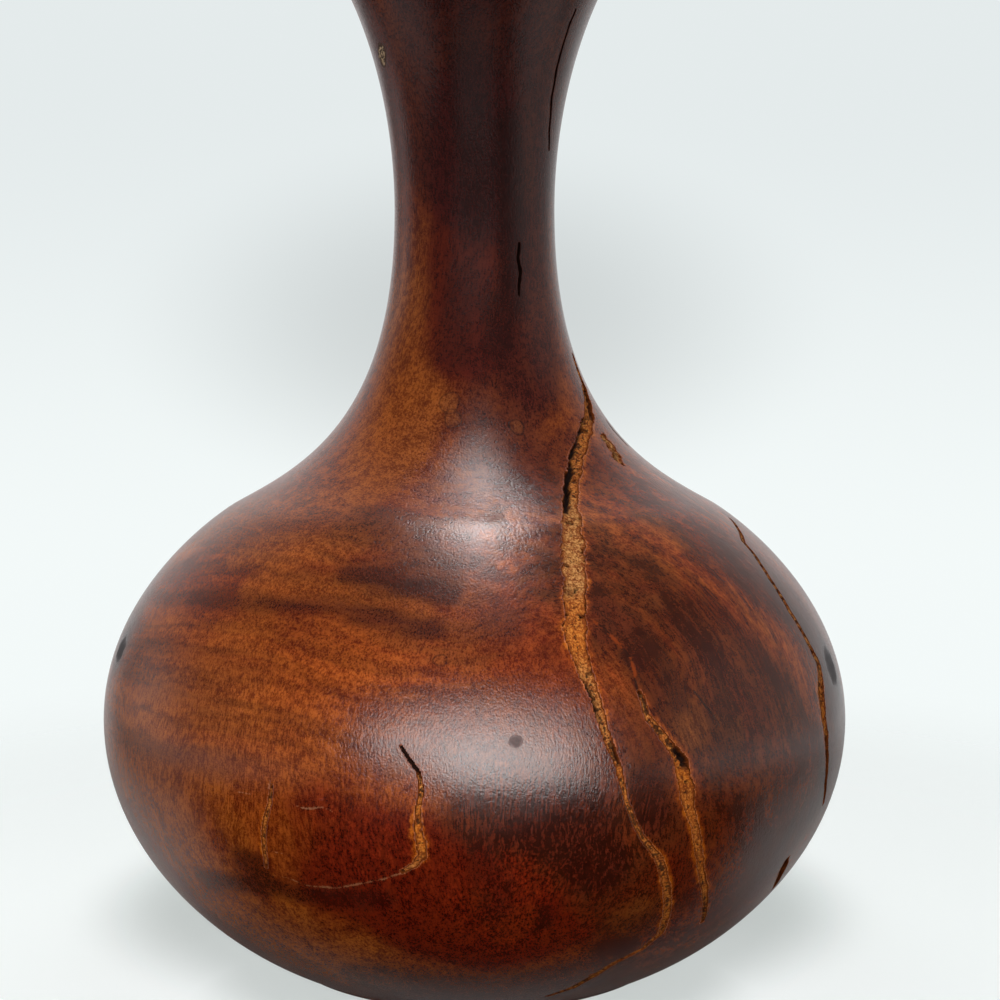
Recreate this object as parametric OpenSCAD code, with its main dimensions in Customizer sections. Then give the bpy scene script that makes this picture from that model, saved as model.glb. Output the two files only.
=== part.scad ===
// Turned burl-wood vase with a round belly, a long flared neck and natural bark seams.
// The front of the vase faces -Y. Angles go round from the front, positive towards +X.
// Height shares are shares of the vase's height above the ground.

/* [Body] */
// Height of the vase from the ground to the top of the lip
vase_h = 250; // [240:1:300]
// Greatest width of the belly
belly_d = 180; // [165:1:200]
// Height of the widest place of the belly
belly_h = 61; // [56:1:66]
// Width across the foot
foot_d = 94; // [86:1:100]
// Width where the shoulder turns from round to hollow
shoulder_d = 116.2; // [110:0.1:120]
// Height of that turn
shoulder_h = 112.3; // [108:0.1:118]
// Width of the neck at its narrowest
neck_d = 38.7; // [37:0.1:44]
// Height of the narrowest place of the neck
neck_h = 183.2; // [176:0.1:190]
// Width across the rim
rim_d = 74; // [66:1:84]
// Thickness of the rounded lip
lip_t = 5.5; // [4:0.1:6]
// Thickness of the wooden wall of the belly
wall_t = 9; // [8:0.1:11]
// Bevel round the edge of the foot
foot_bevel = 0.8; // [0.4:0.1:1.5]

/* [Outline curves] */
// Slope of the belly where it leaves the foot, from the ground
foot_slope = 23.5; // [18:0.5:30]
// Length of the pull of that slope
foot_pull = 20; // [15:0.5:26]
// Pull of the upright tangent at the belly, downwards
belly_pull_down = 29.5; // [24:0.5:34]
// Pull of the upright tangent at the belly, upwards
belly_pull_up = 30.5; // [25:0.5:35]
// Slope of the shoulder, from the ground
shoulder_slope = 28.5; // [25:0.5:34]
// Pull of the shoulder's slope, outwards
shoulder_pull_out = 4.2; // [3:0.1:10]
// Pull of the shoulder's slope, inwards
shoulder_pull_in = 18; // [12:0.5:24]
// Pull of the upright tangent at the neck, downwards
neck_pull_down = 51; // [40:0.5:56]
// Pull of the upright tangent at the neck, upwards
neck_pull_up = 9.7; // [6:0.1:16]
// Lean of the flare at the rim, from the upright
rim_lean = 33.3; // [25:0.1:40]
// Pull of the flare at the rim
rim_pull = 29.4; // [22:0.1:34]

/* [Bore and mouth] */
// Width of the straight bore through the neck
bore_d = 27; // [26:0.1:29]
// Height of the ledge that carries the glass liner
seat_h = 206; // [200:1:212]
// Depth of the straight recess above that ledge
seat_depth = 4; // [3:0.1:6]
// Width of that recess
seat_d = 32; // [31:0.1:33]
// Pull of the mouth's inner curve at the recess
mouth_pull_low = 12; // [8:0.5:18]
// Pull of the mouth's inner curve at the lip
mouth_pull_high = 16; // [10:0.5:20]

/* [Foot] */
// Width of the opening through which the belly is hollowed
opening_d = 64; // [56:1:68]
// Width of the rebate round it that takes the plug's flange
rebate_d = 74; // [72:1:78]
// Depth of that rebate
rebate_depth = 5; // [4:0.1:6]
// Gap all round the plug, filled by glue
glue_gap = 0.05; // [0.03:0.01:0.1]
// Thickness of the felt pad
felt_t = 1; // [1:0.1:2]
// Width of the felt pad
felt_d = 86; // [78:1:88]

/* [Glass liner] */
// Outside width of the glass tube
liner_d = 26; // [25:0.1:26.4]
// Thickness of the glass
glass_t = 1.5; // [1:0.1:2]
// Length of the liner with its lip
liner_len = 100; // [80:1:110]
// Width of the liner's lip
liner_lip_d = 31; // [30:0.1:31.6]
// Thickness of the liner's lip
liner_lip_t = 2.5; // [2:0.1:3]
// Radius of the rounded bottom edge, outside
liner_corner_r = 7; // [4:0.5:10]

/* [Bark seams] */
// Width of a seam whose width share is 1
seam_w = 5; // [4:0.1:5.5]
// Depth of a seam whose width share is 1
seam_depth = 5; // [3:0.1:5.5]
// How far the bark lies below the surface of the wood
bark_recess = 0.6; // [0.3:0.05:0.8]
// Gap between the bark and the wood
bark_gap = 0.1; // [0.05:0.01:0.15]
// Width of an open crack whose width share is 1
crack_w = 0.6; // [0.4:0.05:0.8]
// Depth of an open crack
crack_depth = 1.8; // [1:0.1:2.2]

/* [Knots] */
// Width of the knot in the flare of the neck
neck_knot_d = 5; // [4:0.1:6]
// Width of the knot on the shoulder
shoulder_knot_d = 3.4; // [2.6:0.1:4]
// Width of the knot at the front of the belly
belly_knot_d = 4; // [3:0.1:5]
// Depth of the knots
knot_depth = 3.2; // [2.5:0.1:3.6]
// How far a knot lies below the surface of the wood
knot_recess = 0.25; // [0.2:0.05:0.4]

/* [Hidden] */

// Steps along each curve of the outline, and round a circle
curve_steps = 10;
lip_steps = 8;
round_steps = 96;
// How far every cut runs past the solid that it cuts
overrun = 1;
// Height over which the slope of the surface is taken
slope_h = 0.5;
// Share of a seam's width that is left at its floor
floor_share = 0.45;
// Share of a seam's full depth that its narrowest places keep
least_depth_share = 0.4;

// Seams from top to bottom, one row a place: angle, height share, width share
front_shares = [
    [77, 0.592, 0.20], [73, 0.562, 0.40], [62, 0.539, 0.60], [48, 0.520, 0.60],
    [37, 0.501, 0.60], [28.5, 0.480, 0.60], [23.4, 0.461, 0.60], [20.5, 0.446, 0.75],
    [18.6, 0.428, 0.95], [17.2, 0.410, 0.90], [15.8, 0.391, 0.76], [15.2, 0.370, 0.88],
    [14.9, 0.352, 0.72], [15.6, 0.333, 0.50], [16.4, 0.312, 0.38], [17.6, 0.285, 0.30],
    [19.1, 0.255, 0.30], [20.2, 0.228, 0.24], [22.6, 0.200, 0.30], [25.6, 0.180, 0.56],
    [28.2, 0.152, 0.66], [30.4, 0.120, 0.50], [31.4, 0.099, 0.36], [29.6, 0.083, 0.24],
    [26.0, 0.072, 0.36], [23.4, 0.056, 0.48], [20.5, 0.040, 0.40], [16.5, 0.029, 0.24]
];
right_shares = [
    [22.9, 0.318, 0.16], [23.6, 0.298, 0.22], [26.6, 0.275, 0.32], [28.2, 0.258, 0.72],
    [28.7, 0.242, 0.86], [29.7, 0.219, 0.66], [31.0, 0.203, 0.52], [32.1, 0.183, 0.50],
    [34.2, 0.155, 0.45], [36.5, 0.135, 0.38], [38.5, 0.117, 0.28], [40.1, 0.101, 0.14]
];
hook_shares = [
    [-7.2, 0.260, 0.12], [-6.7, 0.245, 0.20], [-7.3, 0.231, 0.24], [-7.2, 0.214, 0.34],
    [-6.8, 0.201, 0.44], [-6.9, 0.191, 0.36], [-7.8, 0.182, 0.22], [-9.6, 0.176, 0.12]
];
vein_shares = [
    [-27.6, 0.240, 0.12], [-27.9, 0.225, 0.16], [-28.8, 0.212, 0.22], [-29.3, 0.200, 0.25],
    [-29.6, 0.186, 0.20], [-30.1, 0.168, 0.12]
];
side_shares = [
    [76, 0.437, 0.12], [66.5, 0.420, 0.24], [63.0, 0.390, 0.26], [62.0, 0.362, 0.28],
    [62.6, 0.334, 0.28], [63.6, 0.312, 0.36], [61.0, 0.288, 0.70], [60.6, 0.268, 0.46],
    [61.8, 0.238, 0.30], [62.8, 0.209, 0.24], [65.0, 0.185, 0.14]
];
shoulder_pit_shares = [[57.6, 0.520, 0.30], [58.8, 0.511, 0.70], [60.2, 0.501, 0.72], [61.4, 0.492, 0.30]];
lower_pit_shares = [[57.0, 0.141, 0.30], [57.9, 0.131, 0.62], [59.6, 0.119, 0.44], [62.0, 0.105, 0.18]];

// Open cracks in the neck: angle, height share, width share
right_crack_shares = [
    [58.6, 0.912, 0.6], [56.8, 0.887, 0.7], [56.0, 0.856, 1.0], [56.9, 0.832, 1.0],
    [58.7, 0.811, 0.8], [61.6, 0.787, 0.5]
];
front_crack_shares = [
    [32.0, 0.696, 0.5], [30.8, 0.683, 0.9], [31.9, 0.670, 1.0], [30.4, 0.657, 0.8], [30.0, 0.649, 0.4]
];

// Knots: angle, height share
neck_knot_shares = [-64, 0.874];
shoulder_knot_shares = [4.5, 0.453];
belly_knot_shares = [5.3, 0.285];

belly_r = belly_d / 2;
foot_r = foot_d / 2;
shoulder_r = shoulder_d / 2;
neck_r = neck_d / 2;
rim_r = rim_d / 2;
lip_r = lip_t / 2;
bore_r = bore_d / 2;
foot_edge_h = felt_t + foot_bevel;
lip_centre = [rim_r - lip_r, vase_h - lip_r];

// A place on a cubic curve through p[0] and p[3]
function curve_at(p, t) =
    pow(1 - t, 3) * p[0] + 3 * pow(1 - t, 2) * t * p[1] + 3 * (1 - t) * t * t * p[2] + pow(t, 3) * p[3];
function curve(p, steps) = [for (i = [0:steps]) curve_at(p, i / steps)];
function curve_way(p, t) =
    pow(1 - t, 2) * (p[1] - p[0]) + 2 * (1 - t) * t * (p[2] - p[1]) + t * t * (p[3] - p[2]);
// The same curve moved square to itself, to its left
function moved_curve(p, steps, by) =
    [for (i = [0:steps]) let (t = i / steps, w = curve_way(p, t)) curve_at(p, t) + by * [-w.y, w.x] / norm(w)];
function arc(centre, r, from, to, steps) =
    [for (i = [0:steps]) let (a = from + (to - from) * i / steps) centre + r * [cos(a), sin(a)]];
function without_first(list) = [for (i = [1:len(list) - 1]) list[i]];
function reversed(list) = [for (i = [len(list) - 1:-1:0]) list[i]];

// The outline's four curves, from the foot to the rim, as [radius, height]
foot_way = [cos(foot_slope), sin(foot_slope)];
shoulder_way = [cos(shoulder_slope), -sin(shoulder_slope)];
rim_way = [sin(rim_lean), cos(rim_lean)];
rim_start = lip_centre + lip_r * [cos(rim_lean), -sin(rim_lean)];
foot_point = [foot_r, foot_edge_h];
belly_point = [belly_r, belly_h];
shoulder_point = [shoulder_r, shoulder_h];
neck_point = [neck_r, neck_h];
lower_belly = [foot_point, foot_point + foot_pull * foot_way, belly_point - [0, belly_pull_down], belly_point];
upper_belly = [belly_point, belly_point + [0, belly_pull_up],
    shoulder_point + shoulder_pull_out * shoulder_way, shoulder_point];
hollow_shoulder = [shoulder_point, shoulder_point - shoulder_pull_in * shoulder_way,
    neck_point - [0, neck_pull_down], neck_point];
flared_neck = [neck_point, neck_point + [0, neck_pull_up], rim_start - rim_pull * rim_way, rim_start];

outline = concat(
    curve(lower_belly, curve_steps),
    without_first(curve(upper_belly, curve_steps)),
    without_first(curve(hollow_shoulder, curve_steps)),
    without_first(curve(flared_neck, curve_steps))
);
// The radius at a height, for everything that lies in the surface
radius_table = [for (p = outline) [p.y, p.x]];
function radius_at(z) = lookup(z, radius_table);

// The hollow of the belly: the outline moved in by the wall, as far up as the bore
hollow_wall = [
    for (p = concat(moved_curve(lower_belly, curve_steps, wall_t),
        without_first(moved_curve(upper_belly, curve_steps, wall_t)),
        without_first(moved_curve(hollow_shoulder, curve_steps, wall_t))))
    if (p.x > bore_r) p
];
hollow_floor_h = hollow_wall[0].y;
hollow_top_h = hollow_wall[len(hollow_wall) - 1].y;

module ring_solid(points) {
    rotate_extrude($fn = round_steps) polygon(points);
}

// Half a section through the turned shell: outside, lip, mouth, ledge, bore, hollow and foot
module shell() {
    recess_top = [seat_d / 2, seat_h + seat_depth];
    mouth_end = lip_centre + lip_r * [-cos(rim_lean), sin(rim_lean)];
    inner_flare = [mouth_end, mouth_end - mouth_pull_high * rim_way, recess_top + [0, mouth_pull_low], recess_top];
    ring_solid(concat(
        [[rebate_d / 2, felt_t], [foot_r - foot_bevel, felt_t]],
        outline,
        without_first(arc(lip_centre, lip_r, -rim_lean, 180 - rim_lean, lip_steps)),
        without_first(curve(inner_flare, curve_steps)),
        [[seat_d / 2, seat_h], [bore_r, seat_h], [bore_r, hollow_top_h]],
        reversed(hollow_wall),
        [[opening_d / 2, hollow_floor_h], [opening_d / 2, felt_t + rebate_depth],
            [rebate_d / 2, felt_t + rebate_depth]]
    ));
}

// Places on the surface and the directions there
function surface_point(share) =
    let (z = share[1] * vase_h, r = radius_at(z)) [r * sin(share[0]), -r * cos(share[0]), z];
function surface_normal(share) =
    let (
        z = share[1] * vase_h,
        slope = (radius_at(z + slope_h) - radius_at(z - slope_h)) / (2 * slope_h),
        n = [sin(share[0]), -cos(share[0]), -slope]
    )
    n / norm(n);
function path_way(shares, i) =
    let (w = surface_point(shares[min(i + 1, len(shares) - 1)]) - surface_point(shares[max(i - 1, 0)])) w / norm(w);
function depth_share(width_share) = least_depth_share + (1 - least_depth_share) * min(1, width_share);

// Four corners of a seam's cross-section: outer left, outer right, inner right, inner left
function section(shares, i, width, depth, top, gap) =
    let (
        p = surface_point(shares[i]), n = surface_normal(shares[i]), side = cross(n, path_way(shares, i)),
        half = width * shares[i][2] / 2, floor_depth = depth * depth_share(shares[i][2]),
        full = overrun + floor_depth,
        top_half = half * (1 - (1 - floor_share) * (overrun - top) / full) - gap,
        low_half = half * (floor_share + (1 - floor_share) * gap / full) - gap
    )
    [
        p + top * n - top_half * side, p + top * n + top_half * side,
        p - (floor_depth - gap) * n + low_half * side, p - (floor_depth - gap) * n - low_half * side
    ];

// A solid through a row of four-cornered sections
module swept(sections) {
    last = len(sections) - 1;
    polyhedron(
        points = [for (s = sections) each s],
        faces = concat(
            [[0, 2, 1], [0, 3, 2]],
            [for (i = [0:last - 1], k = [0:3]) each [
                [4 * i + k, 4 * i + 4 + (k + 1) % 4, 4 * i + 4 + k],
                [4 * i + k, 4 * i + (k + 1) % 4, 4 * i + 4 + (k + 1) % 4]
            ]],
            [[4 * last, 4 * last + 1, 4 * last + 2], [4 * last, 4 * last + 2, 4 * last + 3]]
        )
    );
}

module groove(shares, width, depth) {
    swept([for (i = [0:len(shares) - 1]) section(shares, i, width, depth, overrun, 0)]);
}

// The bark that fills a groove. It ends short of the groove's two tips.
module bark(shares) {
    color([0.62, 0.38, 0.13])
        swept([for (i = [1:len(shares) - 2]) section(shares, i, seam_w, seam_depth, -bark_recess, bark_gap)]);
}

// A round hole or knot square to the surface, from a depth below it to a height above it
module radial_pin(share, r, depth, top) {
    n = surface_normal(share);
    translate(surface_point(share))
        rotate([0, acos(n.z), atan2(n.y, n.x)])
            translate([0, 0, -depth]) cylinder(r = r, h = depth + top, $fn = round_steps / 4);
}

module knot(share, d) {
    radial_pin(share, d / 2 - glue_gap, knot_depth - glue_gap, -knot_recess);
}

module vase_body() {
    color([0.36, 0.15, 0.08])
        difference() {
            shell();
            for (shares = [front_shares, right_shares, hook_shares, vein_shares,
                side_shares, shoulder_pit_shares, lower_pit_shares])
                groove(shares, seam_w, seam_depth);
            for (shares = [right_crack_shares, front_crack_shares]) groove(shares, crack_w, crack_depth);
            radial_pin(neck_knot_shares, neck_knot_d / 2, knot_depth, overrun);
            radial_pin(shoulder_knot_shares, shoulder_knot_d / 2, knot_depth, overrun);
            radial_pin(belly_knot_shares, belly_knot_d / 2, knot_depth, overrun);
        }
}

// A flange in the rebate and a spigot level with the floor of the hollow
module foot_plug() {
    flange_t = rebate_depth - glue_gap;
    color([0.42, 0.22, 0.12]) {
        translate([0, 0, felt_t]) cylinder(r = rebate_d / 2 - glue_gap, h = flange_t, $fn = round_steps);
        translate([0, 0, felt_t])
            cylinder(r = opening_d / 2 - glue_gap, h = hollow_floor_h - felt_t, $fn = round_steps);
    }
}

module felt_pad() {
    color([0.12, 0.20, 0.14]) cylinder(r = felt_d / 2, h = felt_t, $fn = round_steps);
}

// A blind glass tube with a flat rolled lip that rests on the ledge in the neck
module water_liner() {
    top = seat_h + liner_lip_t;
    bottom = top - liner_len;
    outer = liner_d / 2;
    inner = outer - glass_t;
    corner = [outer - liner_corner_r, bottom + liner_corner_r];
    color([0.80, 0.90, 0.88, 0.4])
        ring_solid(concat(
            [[0, bottom]],
            arc(corner, liner_corner_r, -90, 0, lip_steps),
            [[outer, seat_h], [liner_lip_d / 2, seat_h], [liner_lip_d / 2, top], [inner, top]],
            arc(corner, liner_corner_r - glass_t, 0, -90, lip_steps),
            [[0, bottom + glass_t]]
        ));
}

module front_fissure_bark() { bark(front_shares); }
module right_fissure_bark() { bark(right_shares); }
module hook_fissure_bark() { bark(hook_shares); }
module left_vein_bark() { bark(vein_shares); }
module side_fissure_bark() { bark(side_shares); }
module shoulder_pit_bark() { bark(shoulder_pit_shares); }
module lower_pit_bark() { bark(lower_pit_shares); }

module neck_knot() {
    color([0.60, 0.45, 0.30]) knot(neck_knot_shares, neck_knot_d);
}

module shoulder_knot() {
    color([0.22, 0.09, 0.05]) knot(shoulder_knot_shares, shoulder_knot_d);
}

module belly_knot() {
    color([0.20, 0.08, 0.05]) knot(belly_knot_shares, belly_knot_d);
}

vase_body();
foot_plug();
felt_pad();
water_liner();
front_fissure_bark();
right_fissure_bark();
hook_fissure_bark();
left_vein_bark();
side_fissure_bark();
shoulder_pit_bark();
lower_pit_bark();
neck_knot();
shoulder_knot();
belly_knot();
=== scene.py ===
import bpy
import bmesh
import math
import random
import numpy as np
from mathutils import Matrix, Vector, noise
from mathutils.kdtree import KDTree


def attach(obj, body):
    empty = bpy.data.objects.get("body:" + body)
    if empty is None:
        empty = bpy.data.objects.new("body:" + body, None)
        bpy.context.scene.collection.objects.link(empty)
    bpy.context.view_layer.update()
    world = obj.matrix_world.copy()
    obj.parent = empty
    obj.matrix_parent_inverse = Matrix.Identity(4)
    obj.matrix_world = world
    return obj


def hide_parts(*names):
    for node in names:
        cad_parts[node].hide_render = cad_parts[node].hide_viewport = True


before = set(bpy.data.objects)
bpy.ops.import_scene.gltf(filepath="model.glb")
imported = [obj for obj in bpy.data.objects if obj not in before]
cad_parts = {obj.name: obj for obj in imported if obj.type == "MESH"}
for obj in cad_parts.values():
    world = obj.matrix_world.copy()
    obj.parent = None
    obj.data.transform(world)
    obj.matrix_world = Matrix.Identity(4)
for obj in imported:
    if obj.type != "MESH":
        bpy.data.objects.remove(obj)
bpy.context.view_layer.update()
mm = 0.001
farAway = 9.0  # millimetres from a line at which it no longer marks the wood
slopeStep = 0.0004  # metres up and down over which the outline's slope is taken
skinFace, bareFace, tornFace = 0, 1, 2  # the body's material slots
print("frame loaded")

# the turned outline, in millimetres, as in the part's source
vaseShape = {
    "height": 250.0, "bellyRadius": 90.0, "bellyHeight": 61.0, "footRadius": 47.0, "footEdge": 1.8,
    "shoulderRadius": 58.1, "shoulderHeight": 112.3, "neckRadius": 19.35, "neckHeight": 183.2,
    "rimRadius": 37.0, "lipRadius": 2.75, "wall": 9.0, "footBevel": 0.8, "feltThick": 1.0,
    "footSlope": 23.5, "footPull": 20.0, "bellyPullDown": 29.5, "bellyPullUp": 30.5,
    "shoulderSlope": 28.5, "shoulderPullOut": 4.2, "shoulderPullIn": 18.0,
    "neckPullDown": 51.0, "neckPullUp": 9.7, "rimLean": 33.3, "rimPull": 29.4,
    "boreRadius": 13.5, "seatHeight": 206.0, "seatDepth": 4.0, "seatRadius": 16.0,
    "mouthPullLow": 12.0, "mouthPullHigh": 16.0,
    "openingRadius": 32.0, "rebateRadius": 37.0, "rebateDepth": 5.0,
}
curveSteps = 60  # points along each curve of the outline


def cubicCurve(a, b, c, d, steps):
    t = np.linspace(0.0, 1.0, steps + 1)[:, None]
    return (1 - t) ** 3 * a + 3 * (1 - t) ** 2 * t * b + 3 * (1 - t) * t * t * c + t ** 3 * d


def cubicWay(a, b, c, d, steps):
    t = np.linspace(0.0, 1.0, steps + 1)[:, None]
    way = (1 - t) ** 2 * (b - a) + 2 * (1 - t) * t * (c - b) + t * t * (d - c)
    return way / np.linalg.norm(way, axis=1)[:, None]


def slopeWay(degrees, sign=1.0):
    return np.array([math.cos(math.radians(degrees)), sign * math.sin(math.radians(degrees))])


def outlineCurves(s):
    foot = np.array([s["footRadius"], s["footEdge"]])
    belly = np.array([s["bellyRadius"], s["bellyHeight"]])
    shoulder = np.array([s["shoulderRadius"], s["shoulderHeight"]])
    neck = np.array([s["neckRadius"], s["neckHeight"]])
    lean = math.radians(s["rimLean"])
    rimWay = np.array([math.sin(lean), math.cos(lean)])
    lipCentre = np.array([s["rimRadius"] - s["lipRadius"], s["height"] - s["lipRadius"]])
    rimStart = lipCentre + s["lipRadius"] * np.array([math.cos(lean), -math.sin(lean)])
    up = np.array([0.0, 1.0])
    shoulderWay = slopeWay(s["shoulderSlope"], -1.0)
    return [
        (foot, foot + s["footPull"] * slopeWay(s["footSlope"]), belly - s["bellyPullDown"] * up, belly),
        (belly, belly + s["bellyPullUp"] * up, shoulder + s["shoulderPullOut"] * shoulderWay, shoulder),
        (shoulder, shoulder - s["shoulderPullIn"] * shoulderWay, neck - s["neckPullDown"] * up, neck),
        (neck, neck + s["neckPullUp"] * up, rimStart - s["rimPull"] * rimWay, rimStart),
    ], lipCentre, rimWay


def wholeOutline(parts):
    # the curves in one line, without the points where they meet twice
    return np.concatenate([cubicCurve(*c, curveSteps)[(0 if i == 0 else 1):] for i, c in enumerate(parts)])


curves, lipCentre, rimWay = outlineCurves(vaseShape)
outline = wholeOutline(curves) * mm
outlineR = outline[:, 0]
outlineZ = outline[:, 1]


def radiusAt(z):
    return np.interp(z, outlineZ, outlineR)


def slopeAt(z):
    return (radiusAt(z + slopeStep) - radiusAt(z - slopeStep)) / (2 * slopeStep)


def surfacePoint(angle, z):
    a = np.radians(angle)
    r = radiusAt(z)
    return np.stack([r * np.sin(a), -r * np.cos(a), z * np.ones_like(a)], axis=-1)


def surfaceNormal(angle, z):
    a = np.radians(angle)
    n = np.stack([np.sin(a), -np.cos(a), -slopeAt(z)], axis=-1)
    return n / np.linalg.norm(n, axis=-1)[..., None]


def evenly(points, step):
    # the same line with its points an even step apart
    run = np.concatenate([[0.0], np.cumsum(np.linalg.norm(np.diff(points, axis=0), axis=1))])
    count = max(2, int(round(run[-1] / step)) + 1)
    at = np.linspace(0.0, run[-1], count)
    return np.stack([np.interp(at, run, points[:, k]) for k in range(points.shape[1])], axis=1)


seamLook = {
    "width": 5.0, "fullHalf": 2.5, "depth": 4.2, "crackDepth": 1.0, "step": 0.25, "wall": 0.34, "lap": 0.12,
    "ragged": 0.22, "thinShare": 0.05, "paleBend": 10,
    "refine": (5.0, 2.9, 1.4), "refineLines": (2.6, 1.5, 0.75), "refineKnots": (3.4, 1.7, 0.8),
}
# seams and cracks from their upper ends: [angle from the front, share of the height, share of the width]
seamRows = {
    "front_fissure_bark": [
        [77, 0.592, 0.20], [73, 0.562, 0.40], [62, 0.539, 0.60], [48, 0.520, 0.60],
        [37, 0.501, 0.60], [28.5, 0.480, 0.60], [23.4, 0.461, 0.60], [20.5, 0.446, 0.75],
        [18.6, 0.428, 0.95], [17.2, 0.410, 0.90], [15.8, 0.391, 0.76], [15.2, 0.370, 0.88],
        [14.9, 0.352, 0.70], [15.6, 0.333, 0.46], [16.4, 0.312, 0.34], [17.6, 0.285, 0.25],
        [19.1, 0.255, 0.15], [20.2, 0.228, 0.10], [22.6, 0.200, 0.12], [25.6, 0.180, 0.20],
        [28.2, 0.152, 0.27], [30.4, 0.120, 0.25], [31.4, 0.099, 0.18], [29.6, 0.083, 0.13],
        [26.0, 0.072, 0.17], [23.4, 0.056, 0.24], [20.5, 0.040, 0.22], [16.5, 0.029, 0.13]],
    "right_fissure_bark": [
        [22.9, 0.318, 0.12], [23.6, 0.298, 0.18], [26.6, 0.275, 0.28], [28.2, 0.258, 0.58],
        [28.7, 0.242, 0.62], [29.7, 0.219, 0.36], [31.0, 0.203, 0.27], [32.1, 0.183, 0.23],
        [34.2, 0.155, 0.21], [36.5, 0.135, 0.19], [38.5, 0.117, 0.16], [40.1, 0.101, 0.09]],
    "hook_fissure_bark": [
        [-7.2, 0.260, 0.06], [-6.7, 0.245, 0.10], [-7.3, 0.231, 0.13], [-7.2, 0.214, 0.20],
        [-6.8, 0.201, 0.26], [-6.9, 0.191, 0.24], [-7.8, 0.182, 0.14], [-9.6, 0.176, 0.07]],
    "left_vein_bark": [
        [-27.6, 0.240, 0.05], [-27.9, 0.225, 0.07], [-28.8, 0.212, 0.10], [-29.3, 0.200, 0.12],
        [-29.6, 0.186, 0.10], [-30.1, 0.168, 0.06]],
    "side_fissure_bark": [
        [76, 0.437, 0.10], [66.5, 0.420, 0.15], [63.0, 0.390, 0.17], [62.0, 0.362, 0.20],
        [62.6, 0.334, 0.24], [63.6, 0.312, 0.36], [61.0, 0.288, 0.70], [60.6, 0.268, 0.46],
        [61.8, 0.238, 0.30], [62.8, 0.209, 0.24], [65.0, 0.185, 0.14]],
    "shoulder_pit_bark": [
        [61.6, 0.517, 0.16], [58.6, 0.514, 0.40], [60.6, 0.508, 0.44], [58.2, 0.505, 0.50],
        [58.6, 0.499, 0.46], [55.6, 0.496, 0.34], [56.2, 0.491, 0.14]],
    "lower_pit_bark": [[57.0, 0.141, 0.30], [57.9, 0.131, 0.62], [59.6, 0.119, 0.44], [62.0, 0.105, 0.18]],
}
crackRows = [
    [[58.6, 0.912, 0.04], [56.8, 0.887, 0.05], [56.0, 0.856, 0.07], [56.9, 0.832, 0.07],
        [58.7, 0.811, 0.06], [61.6, 0.787, 0.04]],
    [[32.0, 0.696, 0.05], [30.8, 0.683, 0.09], [31.9, 0.670, 0.10], [30.4, 0.657, 0.08], [30.0, 0.649, 0.04]],
    [[-9.5, 0.280, 0.010], [-9.0, 0.276, 0.020], [-8.2, 0.270, 0.028], [-7.2, 0.260, 0.040]],
    [[78.0, 0.528, 0.04], [77.4, 0.521, 0.08], [78.4, 0.512, 0.07], [78.0, 0.506, 0.03]],
]
# lines too thin to be cut: [angle, millimetres up]
hairRows = [
    [[31.6, 78.5], [33.4, 75.0], [35.0, 71.2]],
]
# a thin amber line between two seams
amberRows = [
    [[18.3, 93.4], [19.7, 91.8], [21.5, 88.7], [22.7, 86.1], [22.8, 83.2], [22.6, 80.7], [23.1, 77.4]],
]
# pale beaded lines of old sap
paleRows = [
    [[-8.3, 44.7], [-10.5, 43.1], [-13.9, 41.4], [-16.9, 39.9], [-20.0, 38.9], [-23.6, 38.5],
        [-26.9, 40.0], [-30.0, 39.9]],
    [[-30.4, 45.5], [-27.5, 45.9], [-25.2, 45.0]],
    [[-27.6, 63.2], [-27.8, 60.5], [-28.4, 57.0]],
    [[-34.0, 57.5], [-31.5, 58.0], [-29.5, 57.0]],
    [[-25.8, 57.4], [-22.5, 56.0], [-19.5, 57.0], [-17.5, 55.0]],
    [[-13.0, 37.0], [-9.8, 37.2]],
]
# old twig ends in the wood: [angle, millimetres up, half width, half height, how much lighter]
ovalRows = [
    [-11.2, 137.2, 2.1, 3.0, 0.8], [-9.0, 133.6, 2.0, 2.4, 0.6], [17.0, 131.8, 1.9, 1.9, 0.5],
    [-4.8, 86.6, 1.3, 1.3, 0.2], [-3.0, 70.2, 1.5, 2.3, 0.15],
]
# lighter patches without an outline, in the same order
patchRows = [
    [30.0, 71.5, 5.2, 4.4, 0.60], [38.5, 70.0, 2.6, 2.4, 0.45], [29.5, 96.0, 3.4, 3.0, 0.35],
    [25.0, 33.0, 3.2, 3.0, 0.40],
]
# dark matt spots without polish, in the same order
spotRows = [[-72.6, 79.8, 5.6, 4.2, 1.0], [70.2, 76.4, 5.6, 6.0, 1.0]]
# knots: their place, and how oval, leaning and large they are, in millimetres
knotRows = {
    "neck_knot": {"angle": -64.0, "share": 0.874, "radius": 2.5, "oval": 0.22, "lean": 1.1},
    "shoulder_knot": {"angle": 4.5, "share": 0.453, "radius": 1.7, "oval": 0.34, "lean": 0.55},
    "belly_knot": {"angle": 5.3, "share": 0.285, "radius": 1.35, "oval": 0.06, "lean": 0.0},
}
knotCut = {"zone": 8.0, "lap": 0.32, "wall": 0.3, "depth": 1.6}


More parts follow.
